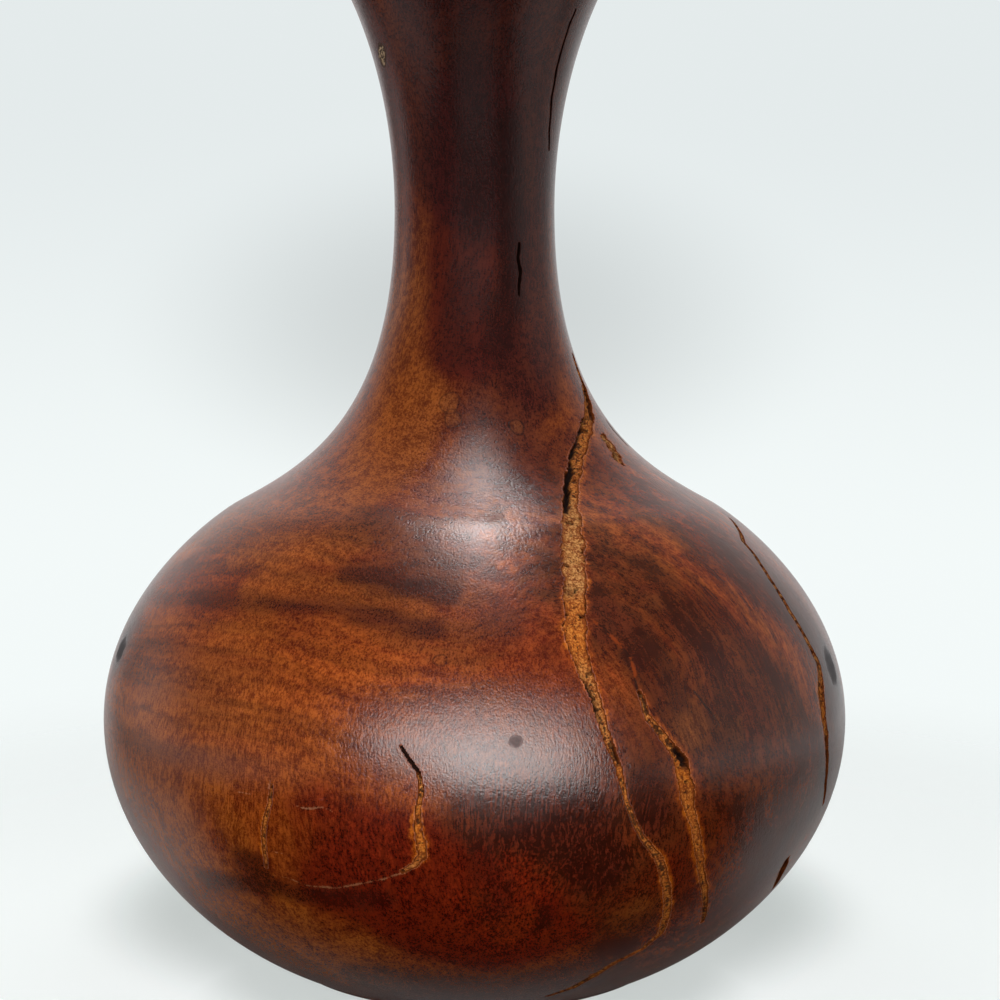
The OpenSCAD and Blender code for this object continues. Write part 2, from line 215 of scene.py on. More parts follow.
def pathOf(rows, step, bend=0):
    # samples of a line on the surface: points, normals, sideways directions, half widths, way along
    rows = np.array(rows, dtype=float)
    rows = np.column_stack([rows[:, 0], rows[:, 1] * vaseShape["height"] * mm, rows[:, 2]])
    fine = np.linspace(0, len(rows) - 1, (len(rows) - 1) * 24 + 1)
    lines = np.stack([np.interp(fine, np.arange(len(rows)), rows[:, k]) for k in range(3)], axis=1)
    if bend:
        # round the corners of a line
        wide = np.pad(lines, ((bend, bend), (0, 0)), mode="edge")
        window = np.ones(2 * bend + 1) / (2 * bend + 1)
        lines = np.stack([np.convolve(wide[:, k], window, "valid") for k in range(3)], axis=1)
    reach = surfacePoint(lines[:, 0], lines[:, 1])
    run = np.concatenate([[0.0], np.cumsum(np.linalg.norm(np.diff(reach, axis=0), axis=1))])
    at = np.linspace(0.0, run[-1], max(3, int(run[-1] / (step * mm)) + 1))
    angle, z, share = [np.interp(at, run, lines[:, k]) for k in range(3)]
    points = surfacePoint(angle, z)
    normals = surfaceNormal(angle, z)
    ways = np.gradient(points, axis=0)
    ways /= np.linalg.norm(ways, axis=1)[:, None]
    sides = np.cross(normals, ways)
    wander = np.array([noise.noise(Vector((d * 260, share[0] * 9, 3.7))) for d in at]) * 0.35 * mm
    points = points + sides * wander[:, None]
    half = share * seamLook["width"] * 0.5 * mm
    return {"points": points, "normals": normals, "sides": sides, "half": half, "at": at, "z": z}


def thinPath(rows, bend=0):
    # the same for a line that isn't cut, from angles and millimetres up
    rows = [[angle, z / vaseShape["height"], seamLook["thinShare"]] for angle, z in rows]
    return pathOf(rows, seamLook["step"], bend)


def ovalLine(angle, z, wide, high):
    # a closed line round a twig end
    turns = np.radians(np.linspace(0, 360, 25))
    out = radiusAt(z * mm) / mm
    ragged = 1 + 0.10 * np.sin(turns * 2 + angle) + 0.07 * np.sin(turns * 3 + z)
    lift = np.abs(surfaceNormal(np.array(angle), np.array(z * mm))[2])
    upright = math.sqrt(1 - lift * lift)
    return [[angle + math.degrees(wide * r * math.cos(t) / out), z + high * r * math.sin(t) * upright]
            for t, r in zip(turns, ragged)]


ovalLines = [ovalLine(*row[:4]) for row in ovalRows]
seamPaths = {name: pathOf(rows, seamLook["step"]) for name, rows in seamRows.items()}
crackPaths = [pathOf(rows, seamLook["step"]) for rows in crackRows]
hairPaths = [thinPath(rows) for rows in hairRows]
amberPaths = [thinPath(rows) for rows in amberRows]
palePaths = [thinPath(rows, seamLook["paleBend"]) for rows in paleRows]
ovalPaths = [thinPath(rows) for rows in ovalLines]


# how each seam looks on its way down: [millimetres up, amber, dark, glow left, glow right]
amberColumn, darkColumn, glowLeftColumn, glowRightColumn = 1, 2, 3, 4
seamFinish = {
    "front_fissure_bark": [
        [148, 0.7, 0.95, 0.2, 0.3], [139, 0.7, 0.7, 0.3, 0.9], [130, 0.8, 0.6, 0.3, 1.6],
        [118, 0.7, 0.6, 0.4, 2.0], [115, 0.15, 0.25, 0.5, 1.4], [100, 0.1, 0.2, 0.7, 1.6],
        [97, 0.8, 0.2, 2.4, 1.8], [88, 0.95, 0.25, 2.6, 1.6], [84, 0.5, 0.4, 1.2, 1.8],
        [75, 0.4, 0.6, 1.2, 1.6], [68, 0.6, 0.95, 0.8, 0.8], [64, 0.9, 0.6, 0.9, 0.9],
        [60, 0.7, 0.95, 0.3, 0.4], [50, 0.8, 0.9, 0.4, 0.5], [45, 0.8, 0.9, 0.5, 0.9],
        [41, 0.9, 0.75, 0.9, 1.4], [27, 0.9, 0.75, 1.6, 1.3], [20, 0.8, 0.7, 0.5, 0.6],
        [8, 0.7, 0.9, 0.9, 0.4]],
    "right_fissure_bark": [
        [80, 0.5, 1.0, 0.3, 0.6], [70, 0.7, 0.9, 0.6, 1.6], [66, 0.8, 0.75, 0.8, 2.0],
        [63, 1.0, 0.15, 1.5, 1.6], [57, 0.9, 0.3, 1.5, 1.3], [48, 0.9, 0.6, 1.5, 1.4],
        [40, 1.0, 0.4, 1.4, 1.5], [33, 0.8, 0.8, 1.2, 1.2], [26, 0.8, 0.95, 0.8, 0.6]],
    "hook_fissure_bark": [
        [65, 0.5, 1.0, 0.2, 0.2], [61, 0.6, 1.0, 0.3, 0.3], [58, 0.9, 0.75, 0.9, 0.7],
        [55, 1.0, 0.45, 1.9, 1.0], [48, 1.0, 0.35, 1.9, 1.1], [45, 0.5, 0.5, 0.6, 0.5]],
    "left_vein_bark": [
        [60, 0.6, 0.8, 0.4, 0.2], [54, 0.9, 0.6, 1.1, 0.5], [46, 0.9, 0.6, 1.3, 0.6],
        [42, 0.6, 0.7, 0.4, 0.2]],
    "side_fissure_bark": [
        [109, 0.2, 1.0, 0.1, 0.1], [80, 0.3, 1.0, 0.4, 0.3], [73, 0.9, 0.5, 1.8, 1.0],
        [67, 0.9, 0.6, 1.8, 0.8], [60, 0.7, 1.0, 0.8, 0.3], [46, 0.6, 1.0, 0.2, 0.2]],
    "shoulder_pit_bark": [[131, 0.0, 0.55, 0.6, 0.6], [122, 0.0, 0.55, 0.6, 0.6]],
    "lower_pit_bark": [[36, 0.8, 0.7, 0.9, 0.9], [26, 0.8, 0.8, 0.5, 0.5]],
}


def finishAt(name, z, column):
    rows = np.array(seamFinish[name])[::-1]
    return float(np.interp(z, rows[:, 0], rows[:, column]))


def fullness(path, i):
    # 1 where a seam has its full width, less where it is narrow
    return min(1.0, path["half"][i] / (seamLook["fullHalf"] * mm))


def ragged(path, i, side, seed):
    # the half width of a seam on one side, with its torn edge
    at = path["at"][i] / mm
    slow = noise.noise(Vector((at * 0.35, side * 7.3, seed)))
    quick = noise.noise(Vector((at * 1.3, side * 3.1, seed + 5)))
    torn = noise.noise(Vector((at * 3.1, side * 5.7, seed + 9)))
    tear = (0.08 * quick + 0.08 * torn) * mm
    return max(0.10 * mm, path["half"][i] * (1 + 0.34 * slow + seamLook["ragged"] * quick) + tear)


def smoothOut(bm):
    bmesh.ops.recalc_face_normals(bm, faces=bm.faces)
    for face in bm.faces:
        face.smooth = True


def meshPiece(bm, name):
    # the finished mesh as an object of the scene
    mesh = bpy.data.meshes.new(name)
    bm.to_mesh(mesh)
    bm.free()
    piece = bpy.data.objects.new(name, mesh)
    bpy.context.collection.objects.link(piece)
    return piece


# the turned body
bodyMesh = {"columns": 224, "rowStep": 2.5, "innerStep": 4.0, "boreStep": 6.0, "lipRows": 10,
            "mouthRows": 12, "hollowRows": 40, "skinFrom": 236.5}


def bodyRings():
    s = vaseShape
    outside = evenly(wholeOutline(curves), bodyMesh["rowStep"])
    angles = np.radians(np.linspace(-s["rimLean"], 180 - s["rimLean"], bodyMesh["lipRows"] + 1))[1:]
    lip = lipCentre + s["lipRadius"] * np.stack([np.cos(angles), np.sin(angles)], axis=1)
    seatTop = np.array([s["seatRadius"], s["seatHeight"] + s["seatDepth"]])
    up = np.array([0.0, 1.0])
    mouth = cubicCurve(lip[-1], lip[-1] - s["mouthPullHigh"] * rimWay, seatTop + s["mouthPullLow"] * up,
                       seatTop, bodyMesh["mouthRows"])
    hollow = []
    for a, b, c, d in curves[:3]:
        way = cubicWay(a, b, c, d, bodyMesh["hollowRows"])
        inward = np.stack([-way[:, 1], way[:, 0]], axis=1)
        inner = cubicCurve(a, b, c, d, bodyMesh["hollowRows"]) + s["wall"] * inward
        hollow.extend(p for p in inner if p[0] > s["boreRadius"])
    hollow = evenly(np.array(hollow), bodyMesh["innerStep"])
    bore = evenly(np.array([[s["boreRadius"], s["seatHeight"]], [s["boreRadius"], hollow[-1][1]]]),
                  bodyMesh["boreStep"])
    foot = [[s["footRadius"] - s["footBevel"], s["feltThick"]]]
    under = [[s["openingRadius"], hollow[0][1]], [s["openingRadius"], s["feltThick"] + s["rebateDepth"]],
             [s["rebateRadius"], s["feltThick"] + s["rebateDepth"]], [s["rebateRadius"], s["feltThick"]]]
    inside = np.concatenate([mouth[1:], [[s["seatRadius"], s["seatHeight"]]], bore, hollow[::-1], under])
    outer = np.concatenate([foot, outside, lip])
    return outer * mm, inside * mm


def ringVerts(bm, r, z, count):
    turn = [2 * math.pi * j / count for j in range(count)]
    return [bm.verts.new((r * math.sin(t), -r * math.cos(t), z)) for t in turn]


def joinRings(bm, low, high, material):
    # low and high are rings going outwards-up, seen from outside the wood
    count = len(low)
    for j in range(count):
        k = (j + 1) % count
        face = bm.faces.new((low[j], low[k], high[k], high[j]))
        face.material_index = material


def joinProfile(bm, rings):
    # rings along a closed profile; a ring of one point stands on the axis
    for a, b in zip(rings, rings[1:]):
        count = max(len(a), len(b))
        for j in range(count):
            k = (j + 1) % count
            if len(a) == 1:
                bm.faces.new((a[0], b[k], b[j]))
            elif len(b) == 1:
                bm.faces.new((a[j], a[k], b[0]))
            else:
                bm.faces.new((a[j], a[k], b[k], b[j]))


def joinFineToCoarse(bm, fine, coarse, material):
    count = len(coarse)
    for j in range(count):
        k = (j + 1) % count
        f = [fine[2 * j], fine[2 * j + 1], fine[(2 * j + 2) % len(fine)]]
        for face in ((f[0], f[1], coarse[j]), (f[1], coarse[k], coarse[j]), (f[1], f[2], coarse[k])):
            bm.faces.new(face).material_index = material


def sampleTree(paths):
    count = sum(len(p["at"]) for p in paths)
    tree = KDTree(count)
    owners = []
    for number, path in enumerate(paths):
        for i, point in enumerate(path["points"]):
            tree.insert(Vector(point), len(owners))
            owners.append((number, i))
    tree.balance()
    return tree, owners


allPaths = list(seamPaths.values()) + crackPaths
seamTree, seamOwners = sampleTree(allPaths)
hairTree, _ = sampleTree(hairPaths)
paleTree, paleOwners = sampleTree(palePaths)
thinTree, _ = sampleTree(hairPaths + palePaths + ovalPaths + amberPaths)


def refineNearSeams(bm):
    # three rounds of finer faces, each closer to the seams, put back on the turned surface
    for level in range(3):
        edges = set()
        for face in bm.faces:
            if face.material_index != skinFace:
                continue
            centre = face.calc_center_median()
            found = seamTree.find(centre)
            number, i = seamOwners[found[1]]
            near = found[2] < allPaths[number]["half"][i] + seamLook["refine"][level] * mm
            if not near:
                found = thinTree.find(centre)
                near = found[2] < seamLook["refineLines"][level] * mm
            if not near:
                for knot in knotRows.values():
                    zone = knot["radius"] + seamLook["refineKnots"][level]
                    if (centre - knot["point"]).length < zone * mm:
                        near = True
            if near:
                edges.update(face.edges)
        bmesh.ops.subdivide_edges(bm, edges=list(edges), cuts=1, use_grid_fill=True)
        for v in bm.verts:
            x, y, z = v.co
            if z < outlineZ[0] or z > outlineZ[-1]:
                continue
            flat = math.hypot(x, y)
            true = float(radiusAt(z))
            if abs(flat - true) < 0.9 * mm and flat > 0:
                v.co.x = x * true / flat
                v.co.y = y * true / flat


for knot in knotRows.values():
    z = np.array(knot["share"] * vaseShape["height"] * mm)
    knot["point"] = Vector(surfacePoint(np.array(knot["angle"]), z))
    knot["normal"] = Vector(surfaceNormal(np.array(knot["angle"]), z))


def knotEdge(name, turn):
    # a knot's own uneven outline, as a share of its radius
    knot = knotRows[name]
    seed = sum(ord(c) for c in name) * 0.1
    rough = noise.noise(Vector((math.cos(turn) * 1.6, math.sin(turn) * 1.6, seed)))
    torn = noise.noise(Vector((math.cos(turn) * 3.7, math.sin(turn) * 3.7, seed + 4)))
    return 1.0 + knot["oval"] * math.cos(2 * (turn - knot["lean"])) * 0.8 + 0.16 * rough + 0.13 * torn


def knotAxes(knot):
    across = Vector((0, 0, 1)).cross(knot["normal"]).normalized()
    return across, knot["normal"].cross(across).normalized()


def buildBody():
    bm = bmesh.new()
    outer, inside = bodyRings()
    columns = bodyMesh["columns"]
    rings = [ringVerts(bm, r, z, columns) for r, z in outer]
    for low, high in zip(rings, rings[1:]):
        joinRings(bm, low, high, skinFace)
    coarse = [ringVerts(bm, r, z, columns // 2) for r, z in inside]
    joinFineToCoarse(bm, rings[-1], coarse[0], skinFace)
    for low, high in zip(coarse, coarse[1:]):
        joinRings(bm, low, high, bareFace)
    # the sole between the rebate and the foot's bevel
    bare = coarse[-1]
    for j in range(len(bare)):
        k = (j + 1) % len(bare)
        f = [rings[0][2 * j], rings[0][2 * j + 1], rings[0][(2 * j + 2) % columns]]
        for face in ((bare[j], f[1], f[0]), (bare[j], bare[k], f[1]), (bare[k], f[2], f[1])):
            bm.faces.new(face).material_index = bareFace
    # the flare is oiled inside too
    for face in bm.faces:
        if face.calc_center_median().z > bodyMesh["skinFrom"] * mm and face.material_index == bareFace:
            face.material_index = skinFace
    smoothOut(bm)
    refineNearSeams(bm)
    cutSeams(bm)
    return meshPiece(bm, "burlVase")


seamMarks = {}  # for each point of the body, what its material asks about the seams


def cutSeams(bm):
    # sinks the seams, cracks and knot holes into the body and notes how far each point is from them
    bm.verts.ensure_lookup_table()
    count = len(bm.verts)
    gap = np.full(count, farAway)
    deep = np.zeros(count)
    hair = np.full(count, farAway)
    pale = np.full(count, farAway)
    knotGap = np.full(count, farAway)
    isCrack = np.zeros(count)
    glow = np.zeros(count)
    seamNames = list(seamPaths)
    shifts = {}
    for v in bm.verts:
        x, y, z = v.co
        flat = math.hypot(x, y)
        if z < outlineZ[0] or z > outlineZ[-1] or abs(flat - float(radiusAt(z))) > 0.2 * mm:
            continue
        normal = Vector((x / flat, y / flat, -float(slopeAt(z)))).normalized()
        found = seamTree.find(v.co)
        if found[2] < farAway * mm:
            number, i = seamOwners[found[1]]
            path = allPaths[number]
            across = float(np.dot(np.array(v.co) - path["points"][i], path["sides"][i]))
            beyond = max(0.0, math.sqrt(max(0.0, found[2] ** 2 - across ** 2)) - 0.2 * mm)
            crack = number >= len(seamPaths)
            seed = number * 2.7
            if crack:
                edge = path["half"][i] * (1 + 0.5 * noise.noise(Vector((path["at"][i] / mm * 0.8, seed, 1))))
            else:
                edge = ragged(path, i, 1 if across > 0 else -1, seed)
            out = 0
            if abs(across) > edge or beyond > 0:
                out = math.hypot(max(0.0, abs(across) - edge), beyond)
            inner = 0.0 if out > 0 else edge - abs(across)
            gap[v.index] = out / mm if out > 0 else -inner / mm
            if not crack:
                column = glowRightColumn if across > 0 else glowLeftColumn
                reach = finishAt(seamNames[number], path["z"][i] / mm, column)
                fade = 1 - max(0.0, out / mm) / (0.25 + 1.35 * reach)
                glow[v.index] = max(0.0, fade) * min(1.0, 0.35 + reach)
            isCrack[v.index] = 1.0 if crack else 0.0
            if inner > 0 or out < seamLook["lap"] * mm:
                grooveDepth = seamLook["depth"] * (0.4 + 0.6 * fullness(path, i))
                full = (seamLook["crackDepth"] if crack else grooveDepth) * mm
                into = min(1.0, (inner + seamLook["lap"] * mm - out) / (seamLook["wall"] * mm))
                fall = full * into ** 0.9
                shifts[v.index] = -normal * fall
                deep[v.index] = fall / mm
        found = hairTree.find(v.co)
        if found[2] < farAway * mm:
            hair[v.index] = found[2] / mm
        found = paleTree.find(v.co)
        if found[2] < farAway * mm:
            number, i = paleOwners[found[1]]
            ends = min(i, len(palePaths[number]["at"]) - 1 - i) * seamLook["step"]
            pale[v.index] = found[2] / mm + 0.25 * max(0.0, 1 - ends / 3.0)
        for name, knot in knotRows.items():
            off = v.co - knot["point"]
            if off.length < knotCut["zone"] * mm:
                across, upward = knotAxes(knot)
                turn = math.atan2(off.dot(upward), off.dot(across))
                edge = knot["radius"] * knotEdge(name, turn)
                away = math.hypot(off.dot(upward), off.dot(across)) / mm - edge
                knotGap[v.index] = min(knotGap[v.index], away)
                if away < -knotCut["lap"]:
                    # the hole's edge stays under the knot
                    into = min(1.0, (-away - knotCut["lap"]) / knotCut["wall"])
                    shifts[v.index] = -normal * into * knotCut["depth"] * mm
    for index, shift in shifts.items():
        bm.verts[index].co += shift
        for face in bm.verts[index].link_faces:
            face.smooth = False
            face.material_index = tornFace
    for edge in bm.edges:
        if len({face.material_index == tornFace for face in edge.link_faces}) == 2:
            edge.smooth = False
    seamMarks.update({"seamGap": gap, "seamDeep": deep, "hairGap": hair, "knotGap": knotGap,
                      "crackMark": isCrack, "seamGlow": glow, "paleGap": pale})


body = buildBody()
triangles = sum(len(p.vertices) - 2 for p in body.data.polygons)
print("body mesh:", len(body.data.vertices), "vertices,", triangles, "triangles")

# the figure of the wood, brushed on as soft strokes
# a stroke: [half width in mm, softness in mm, strength, [angle, millimetres up], ...]
darkStrokes = [
    [1.4, 2.6, 0.56, [-53, 94.3], [-43, 95.0], [-35, 95.6], [-27, 96.0], [-21, 96.1]],
    [1.0, 2.0, 0.48, [-36, 95.6], [-28, 96.0], [-21, 96.1]],
    [1.2, 2.4, 0.85, [-19, 95.2], [-12, 94.0], [-6, 92.4]],
    [0.9, 2.0, 0.40, [-33, 101.5], [-28, 102.2], [-23, 102.3]],
    [1.5, 2.6, 0.95, [-22, 102.0], [-17, 102.0], [-11, 100.6], [-4, 98.8]],
    [1.1, 2.8, 0.50, [-28, 114.5], [-19, 113.5], [-9, 111.8]],
    [1.0, 2.4, 0.50, [-11, 110.5], [-8, 107.4], [-4, 104.2]],
    [0.9, 2.6, 0.35, [-70, 84.0], [-55, 83.4], [-40, 84.6], [-30, 83.6]],
    [0.9, 2.4, 0.35, [-66, 76.0], [-50, 74.6], [-35, 75.6]],
    [1.4, 3.4, 0.40, [-75, 66.0], [-60, 63.0], [-45, 62.0], [-34, 62.5]],
    [2.8, 3.0, 1.00, [-73.0, 81.5], [-72.0, 79.0]],
    [1.6, 3.0, 0.80, [-45, 34.6], [-38, 36.0], [-31, 37.4]],
    [1.8, 2.8, 0.80, [-34.0, 42.8], [-31.5, 41.8]],
    [1.1, 3.0, 0.75, [-31, 37.5], [-27, 36.5], [-22, 36.3], [-13, 37.2]],
    [4.0, 7.0, 0.75, [1, 56.5], [8, 57.5], [15, 56.5]],
    [4.5, 6.0, 0.90, [9, 54.0], [14, 50.0], [17, 44.5]],
    [2.4, 4.0, 0.80, [23, 61.0], [24, 54.0]],
    [1.1, 1.8, 0.95, [9.8, 34.6], [10.1, 31.4]],
    [0.9, 1.6, 0.80, [13.2, 45.2], [14.2, 45.0]],
    [2.2, 3.0, 0.75, [21.5, 23.4], [25.5, 22.6]],
    [2.2, 4.0, 0.60, [1.0, 47.0], [3.0, 41.0], [2.4, 35.0]],
    [2.2, 3.5, 0.65, [18.5, 99.0], [22.0, 94.0], [26.5, 89.0]],
    [1.2, 2.0, 0.75, [22.3, 86.4], [23.6, 85.2]],
    [1.2, 1.8, 0.65, [18.4, 91.5], [19.2, 90.2]],
    [1.3, 3.0, 0.34, [24, 88.0], [27, 80.0], [33, 70.5], [38, 61.5]],
    [1.5, 3.6, 0.60, [31, 104.0], [37, 97.0], [44, 88.0], [50, 77.0]],
    [1.4, 3.4, 0.55, [28, 99.0], [33, 92.0], [39, 82.0], [44, 73.0]],
    [1.5, 3.6, 0.55, [40, 113.0], [48, 104.0], [56, 92.0]],
    [1.4, 3.4, 0.45, [47, 109.0], [58, 98.0], [66, 86.0]],
    [2.2, 4.4, 0.50, [36, 75.0], [43, 65.0], [49, 54.0], [52, 44.0]],
    [3.0, 6.0, 0.60, [38, 52.0], [45, 43.0], [52, 33.0]],
    [2.4, 4.0, 0.50, [30, 40.0], [33, 33.0]],
    [3.2, 3.5, 1.00, [70.0, 79.5], [71.1, 76.5], [71.8, 72.5]],
    [2.0, 3.6, 0.80, [22, 201.0], [26, 191.0], [27.5, 180.0], [27, 170.0], [25, 160.0]],
    [2.2, 3.6, 0.75, [13.0, 160.0], [15.0, 155.5], [14.0, 150.0]],
    [2.4, 4.5, 0.55, [-8, 166.0], [-11, 156.0], [-12, 148.0]],
    [1.6, 5.0, 0.50, [-6, 221.0], [-3, 205.0], [0, 190.0], [1, 176.0]],
    [1.6, 4.0, 0.35, [14, 120.0], [12, 110.0]],
]
honeyStrokes = [
    [8.0, 8.0, 0.85, [-68, 63.0], [-60, 56.0], [-51, 46.0], [-44, 31.0], [-33, 20.0], [-22, 15.0]],
    [6.0, 8.0, 0.85, [-52, 158.0], [-44, 147.0], [-38, 136.0], [-34, 126.0]],
    [3.5, 4.5, 0.70, [-23, 139.0], [-22, 131.0], [-25, 123.0], [-29, 117.0]],
    [3.0, 6.0, 0.35, [-32, 176.0], [-30, 165.0], [-26, 155.0]],
    [8.0, 12.0, 0.52, [-62, 110.0], [-48, 111.0], [-38, 112.0]],
    [3.0, 4.0, 0.70, [-48, 104.5], [-36, 106.0], [-24, 108.0]],
    [2.4, 3.4, 0.75, [-40, 98.6], [-30, 99.3], [-17, 98.4], [-9, 96.0]],
    [9.0, 12.0, 0.45, [-62, 76.0], [-50, 80.0], [-38, 85.0]],
    [6.0, 9.0, 0.48, [-50, 68.0], [-36, 68.0], [-22, 70.0]],
    [5.0, 8.0, 0.50, [-66, 60.0], [-52, 54.0], [-40, 54.0]],
    [2.0, 3.4, 0.65, [-44.5, 48.0], [-43.5, 44.0]],
    [2.4, 3.6, 0.65, [-35.0, 50.0], [-34.5, 46.5]],
    [2.8, 4.0, 0.60, [-43.0, 39.0], [-38.0, 39.0]],
    [1.8, 2.4, 0.80, [-28.8, 34.2], [-27.2, 31.5], [-26.0, 28.5]],
    [2.2, 4.0, 0.50, [-24, 52.0], [-21, 48.0]],
    [1.1, 2.0, 0.95, [0.6, 39.6], [0.9, 37.2]],
    [2.2, 2.8, 0.90, [3.8, 31.4], [5.0, 28.6]],
    [1.8, 2.2, 0.85, [7.8, 34.0], [9.0, 32.4]],
    [2.0, 3.0, 0.75, [12.0, 27.6], [15.0, 26.6]],
    [2.6, 3.2, 0.85, [15.8, 35.4], [19.0, 32.6]],
    [2.4, 3.6, 0.70, [-20, 24.5], [-14, 25.0]],
    [2.6, 3.6, 0.50, [24, 33.0], [24, 27.0]],
    [4.5, 3.0, 0.75, [29.0, 73.6], [29.6, 71.0]],
    [3.6, 3.0, 0.70, [41.6, 111.4], [43.2, 108.4]],
    [1.4, 2.4, 0.80, [35.0, 71.5], [36.5, 69.0]],
    [3.0, 4.5, 0.60, [24, 113.0], [29, 108.0], [34, 102.0]],
    [1.6, 3.0, 0.55, [33, 93.5], [38, 85.0], [42, 77.0]],
    [1.5, 3.0, 0.50, [45, 98.0], [52, 87.0]],
    [2.4, 4.0, 0.45, [44, 62.0], [48, 54.0]],
    [2.0, 3.4, 0.80, [33, 204.0], [35, 194.0], [36, 186.0]],
]
plumStrokes = [
    [9.0, 12.0, 1.0, [-24, 246.0], [-4, 224.0], [6, 205.0], [6, 190.0]],
    [9.0, 12.0, 0.62, [50, 240.0], [48, 215.0], [44, 196.0]],
    [7.0, 10.0, 0.60, [-60, 240.0], [-50, 214.0], [-40, 200.0]],
    [4.0, 8.0, 0.75, [46, 190.0], [42, 172.0], [38, 156.0], [32, 142.0]],
    [6.0, 9.0, 0.60, [16, 146.0], [10, 132.0], [14, 120.0]],
    [4.0, 7.0, 0.50, [40, 126.0], [48, 117.0], [56, 107.0]],
    [6.0, 9.0, 0.40, [40, 90.0], [46, 78.0], [50, 64.0]],
    [6.0, 8.0, 0.55, [60, 98.0], [66, 84.0], [72, 66.0]],
    [6.0, 8.0, 0.50, [24, 24.0], [34, 26.0], [46, 30.0]],
]
redStrokes = [
    [7.0, 9.0, 0.85, [0, 204.0], [0, 186.0], [-2, 168.0], [-4, 152.0]],
    [5.0, 8.0, 0.60, [-72, 225.0], [-68, 205.0], [-66, 185.0]],
    [9.0, 11.0, 1.00, [-8, 43.0], [0, 38.0], [8, 42.0]],
    [7.0, 9.0, 1.00, [-8, 32.0], [2, 27.0], [12, 32.0]],
    [5.0, 9.0, 0.70, [-20, 53.0], [-15, 50.0], [-10, 46.0]],
    [6.0, 8.0, 0.85, [-19, 40.0], [-12, 38.0], [-8, 34.0]],
    [6.0, 9.0, 0.75, [14, 38.0], [20, 44.0], [24, 48.0]],
    [5.0, 8.0, 0.60, [34, 50.0], [32, 40.0]],
    [3.0, 4.0, 0.70, [31.0, 97.0], [34.0, 90.0], [36.0, 84.0]],
    [3.0, 5.0, 0.55, [25.8, 84.0], [27.5, 78.5], [26.2, 74.0]],
    [5.0, 8.0, 0.45, [6, 92.0], [8, 84.0]],
]
# darker brown on the right of the belly, round and under the belly's highlight and low down: partly the
# wood's own tone, partly painted shade
umberShadeStrokes = [
    [10.0, 11.0, 0.70, [21, 102.0], [28, 93.0], [37, 80.0], [46, 66.0], [52, 48.0]],
    [7.0, 10.0, 0.65, [22, 70.0], [28, 60.0], [36, 50.0]],
    [7.0, 9.0, 0.75, [2, 60.0], [12, 57.0], [22, 54.0]],
    [6.0, 8.0, 0.70, [14, 48.0], [20, 40.0], [24, 32.0]],
    [8.0, 10.0, 0.60, [60, 100.0], [68, 80.0], [64, 56.0]],
    [6.0, 8.0, 0.55, [-13, 100.0], [-8, 96.0], [0, 93.0]],
    [5.0, 7.0, 0.50, [-24, 109.0], [-16, 107.0], [-8, 104.0]],
    [7.0, 9.0, 0.65, [-16, 12.0], [4, 10.0], [22, 14.0]],
    [5.0, 8.0, 0.50, [-12, 72.0], [0, 73.0], [10, 72.0]],
    [6.0, 8.0, 0.60, [44, 36.0], [52, 44.0], [60, 52.0]],
]
# where upright light fibres stand out of the dark wood
fibreStrokes = [
    [7.0, 6.0, 1.0, [3, 57.0], [11, 55.0], [19, 52.0]], [6.0, 6.0, 0.9, [8, 46.0], [16, 46.0]],
    [5.0, 6.0, 0.7, [1, 36.0], [6, 31.0]], [6.0, 8.0, 0.5, [-17, 52.0], [-12, 46.0]],
]
# the turning of the grain: level on the left of the belly, slanting on its right
levelStrokes = [[22.0, 18.0, 1.0, [-110, 98.0], [-70, 92.0], [-40, 92.0], [-12, 98.0]]]
slantStrokes = [[20.0, 16.0, 1.0, [24, 108.0], [36, 88.0], [48, 66.0], [62, 50.0]],
                [20.0, 16.0, 1.0, [60, 110.0], [76, 90.0], [88, 66.0], [104, 52.0]]]


def backStrokes(seed, count, half, soft, strength):
    # the same kind of figure on the side that faces away, placed by a fixed seed
    dice = random.Random(seed)
    strokes = []
    for _ in range(count):
        angle = dice.uniform(92, 268)
        z = dice.uniform(16, 118)
        lean = dice.choice([(9, -7.0), (9, -2.0), (3, -9.0), (8, 2.0)])
        points = [[angle + lean[0] * k, min(230.0, max(8.0, z + lean[1] * k))] for k in range(3)]
        strokes.append([half * dice.uniform(0.6, 1.5), soft * dice.uniform(0.8, 1.4),
                        strength * dice.uniform(0.6, 1.0)] + points)
    return strokes


def neckStrokes(seed, count, half, soft, strength):
    dice = random.Random(seed)
    strokes = []
    for _ in range(count):
        angle = dice.uniform(95, 265)
        z = dice.uniform(125, 200)
        points = [[angle + dice.uniform(-5, 5), min(243.0, z + 16.0 * k)] for k in range(4)]
        strokes.append([half, soft, strength * dice.uniform(0.6, 1.0)] + points)
    return strokes


darkStrokes = darkStrokes + backStrokes(4, 26, 1.7, 3.4, 0.8) + neckStrokes(5, 7, 2.2, 5.0, 0.9)
fibreStrokes = fibreStrokes + backStrokes(41, 6, 5.0, 6.0, 0.8)
umberShadeStrokes = umberShadeStrokes + backStrokes(43, 9, 7.0, 9.0, 0.8)
honeyStrokes = honeyStrokes + backStrokes(11, 18, 4.0, 7.0, 0.75) + neckStrokes(8, 3, 3.0, 6.0, 0.6)
plumStrokes = plumStrokes + backStrokes(17, 8, 6.0, 9.0, 0.8) + neckStrokes(21, 6, 6.0, 9.0, 0.9)
redStrokes = redStrokes + backStrokes(23, 8, 4.0, 6.0, 0.8) + neckStrokes(31, 3, 2.5, 5.0, 0.8)


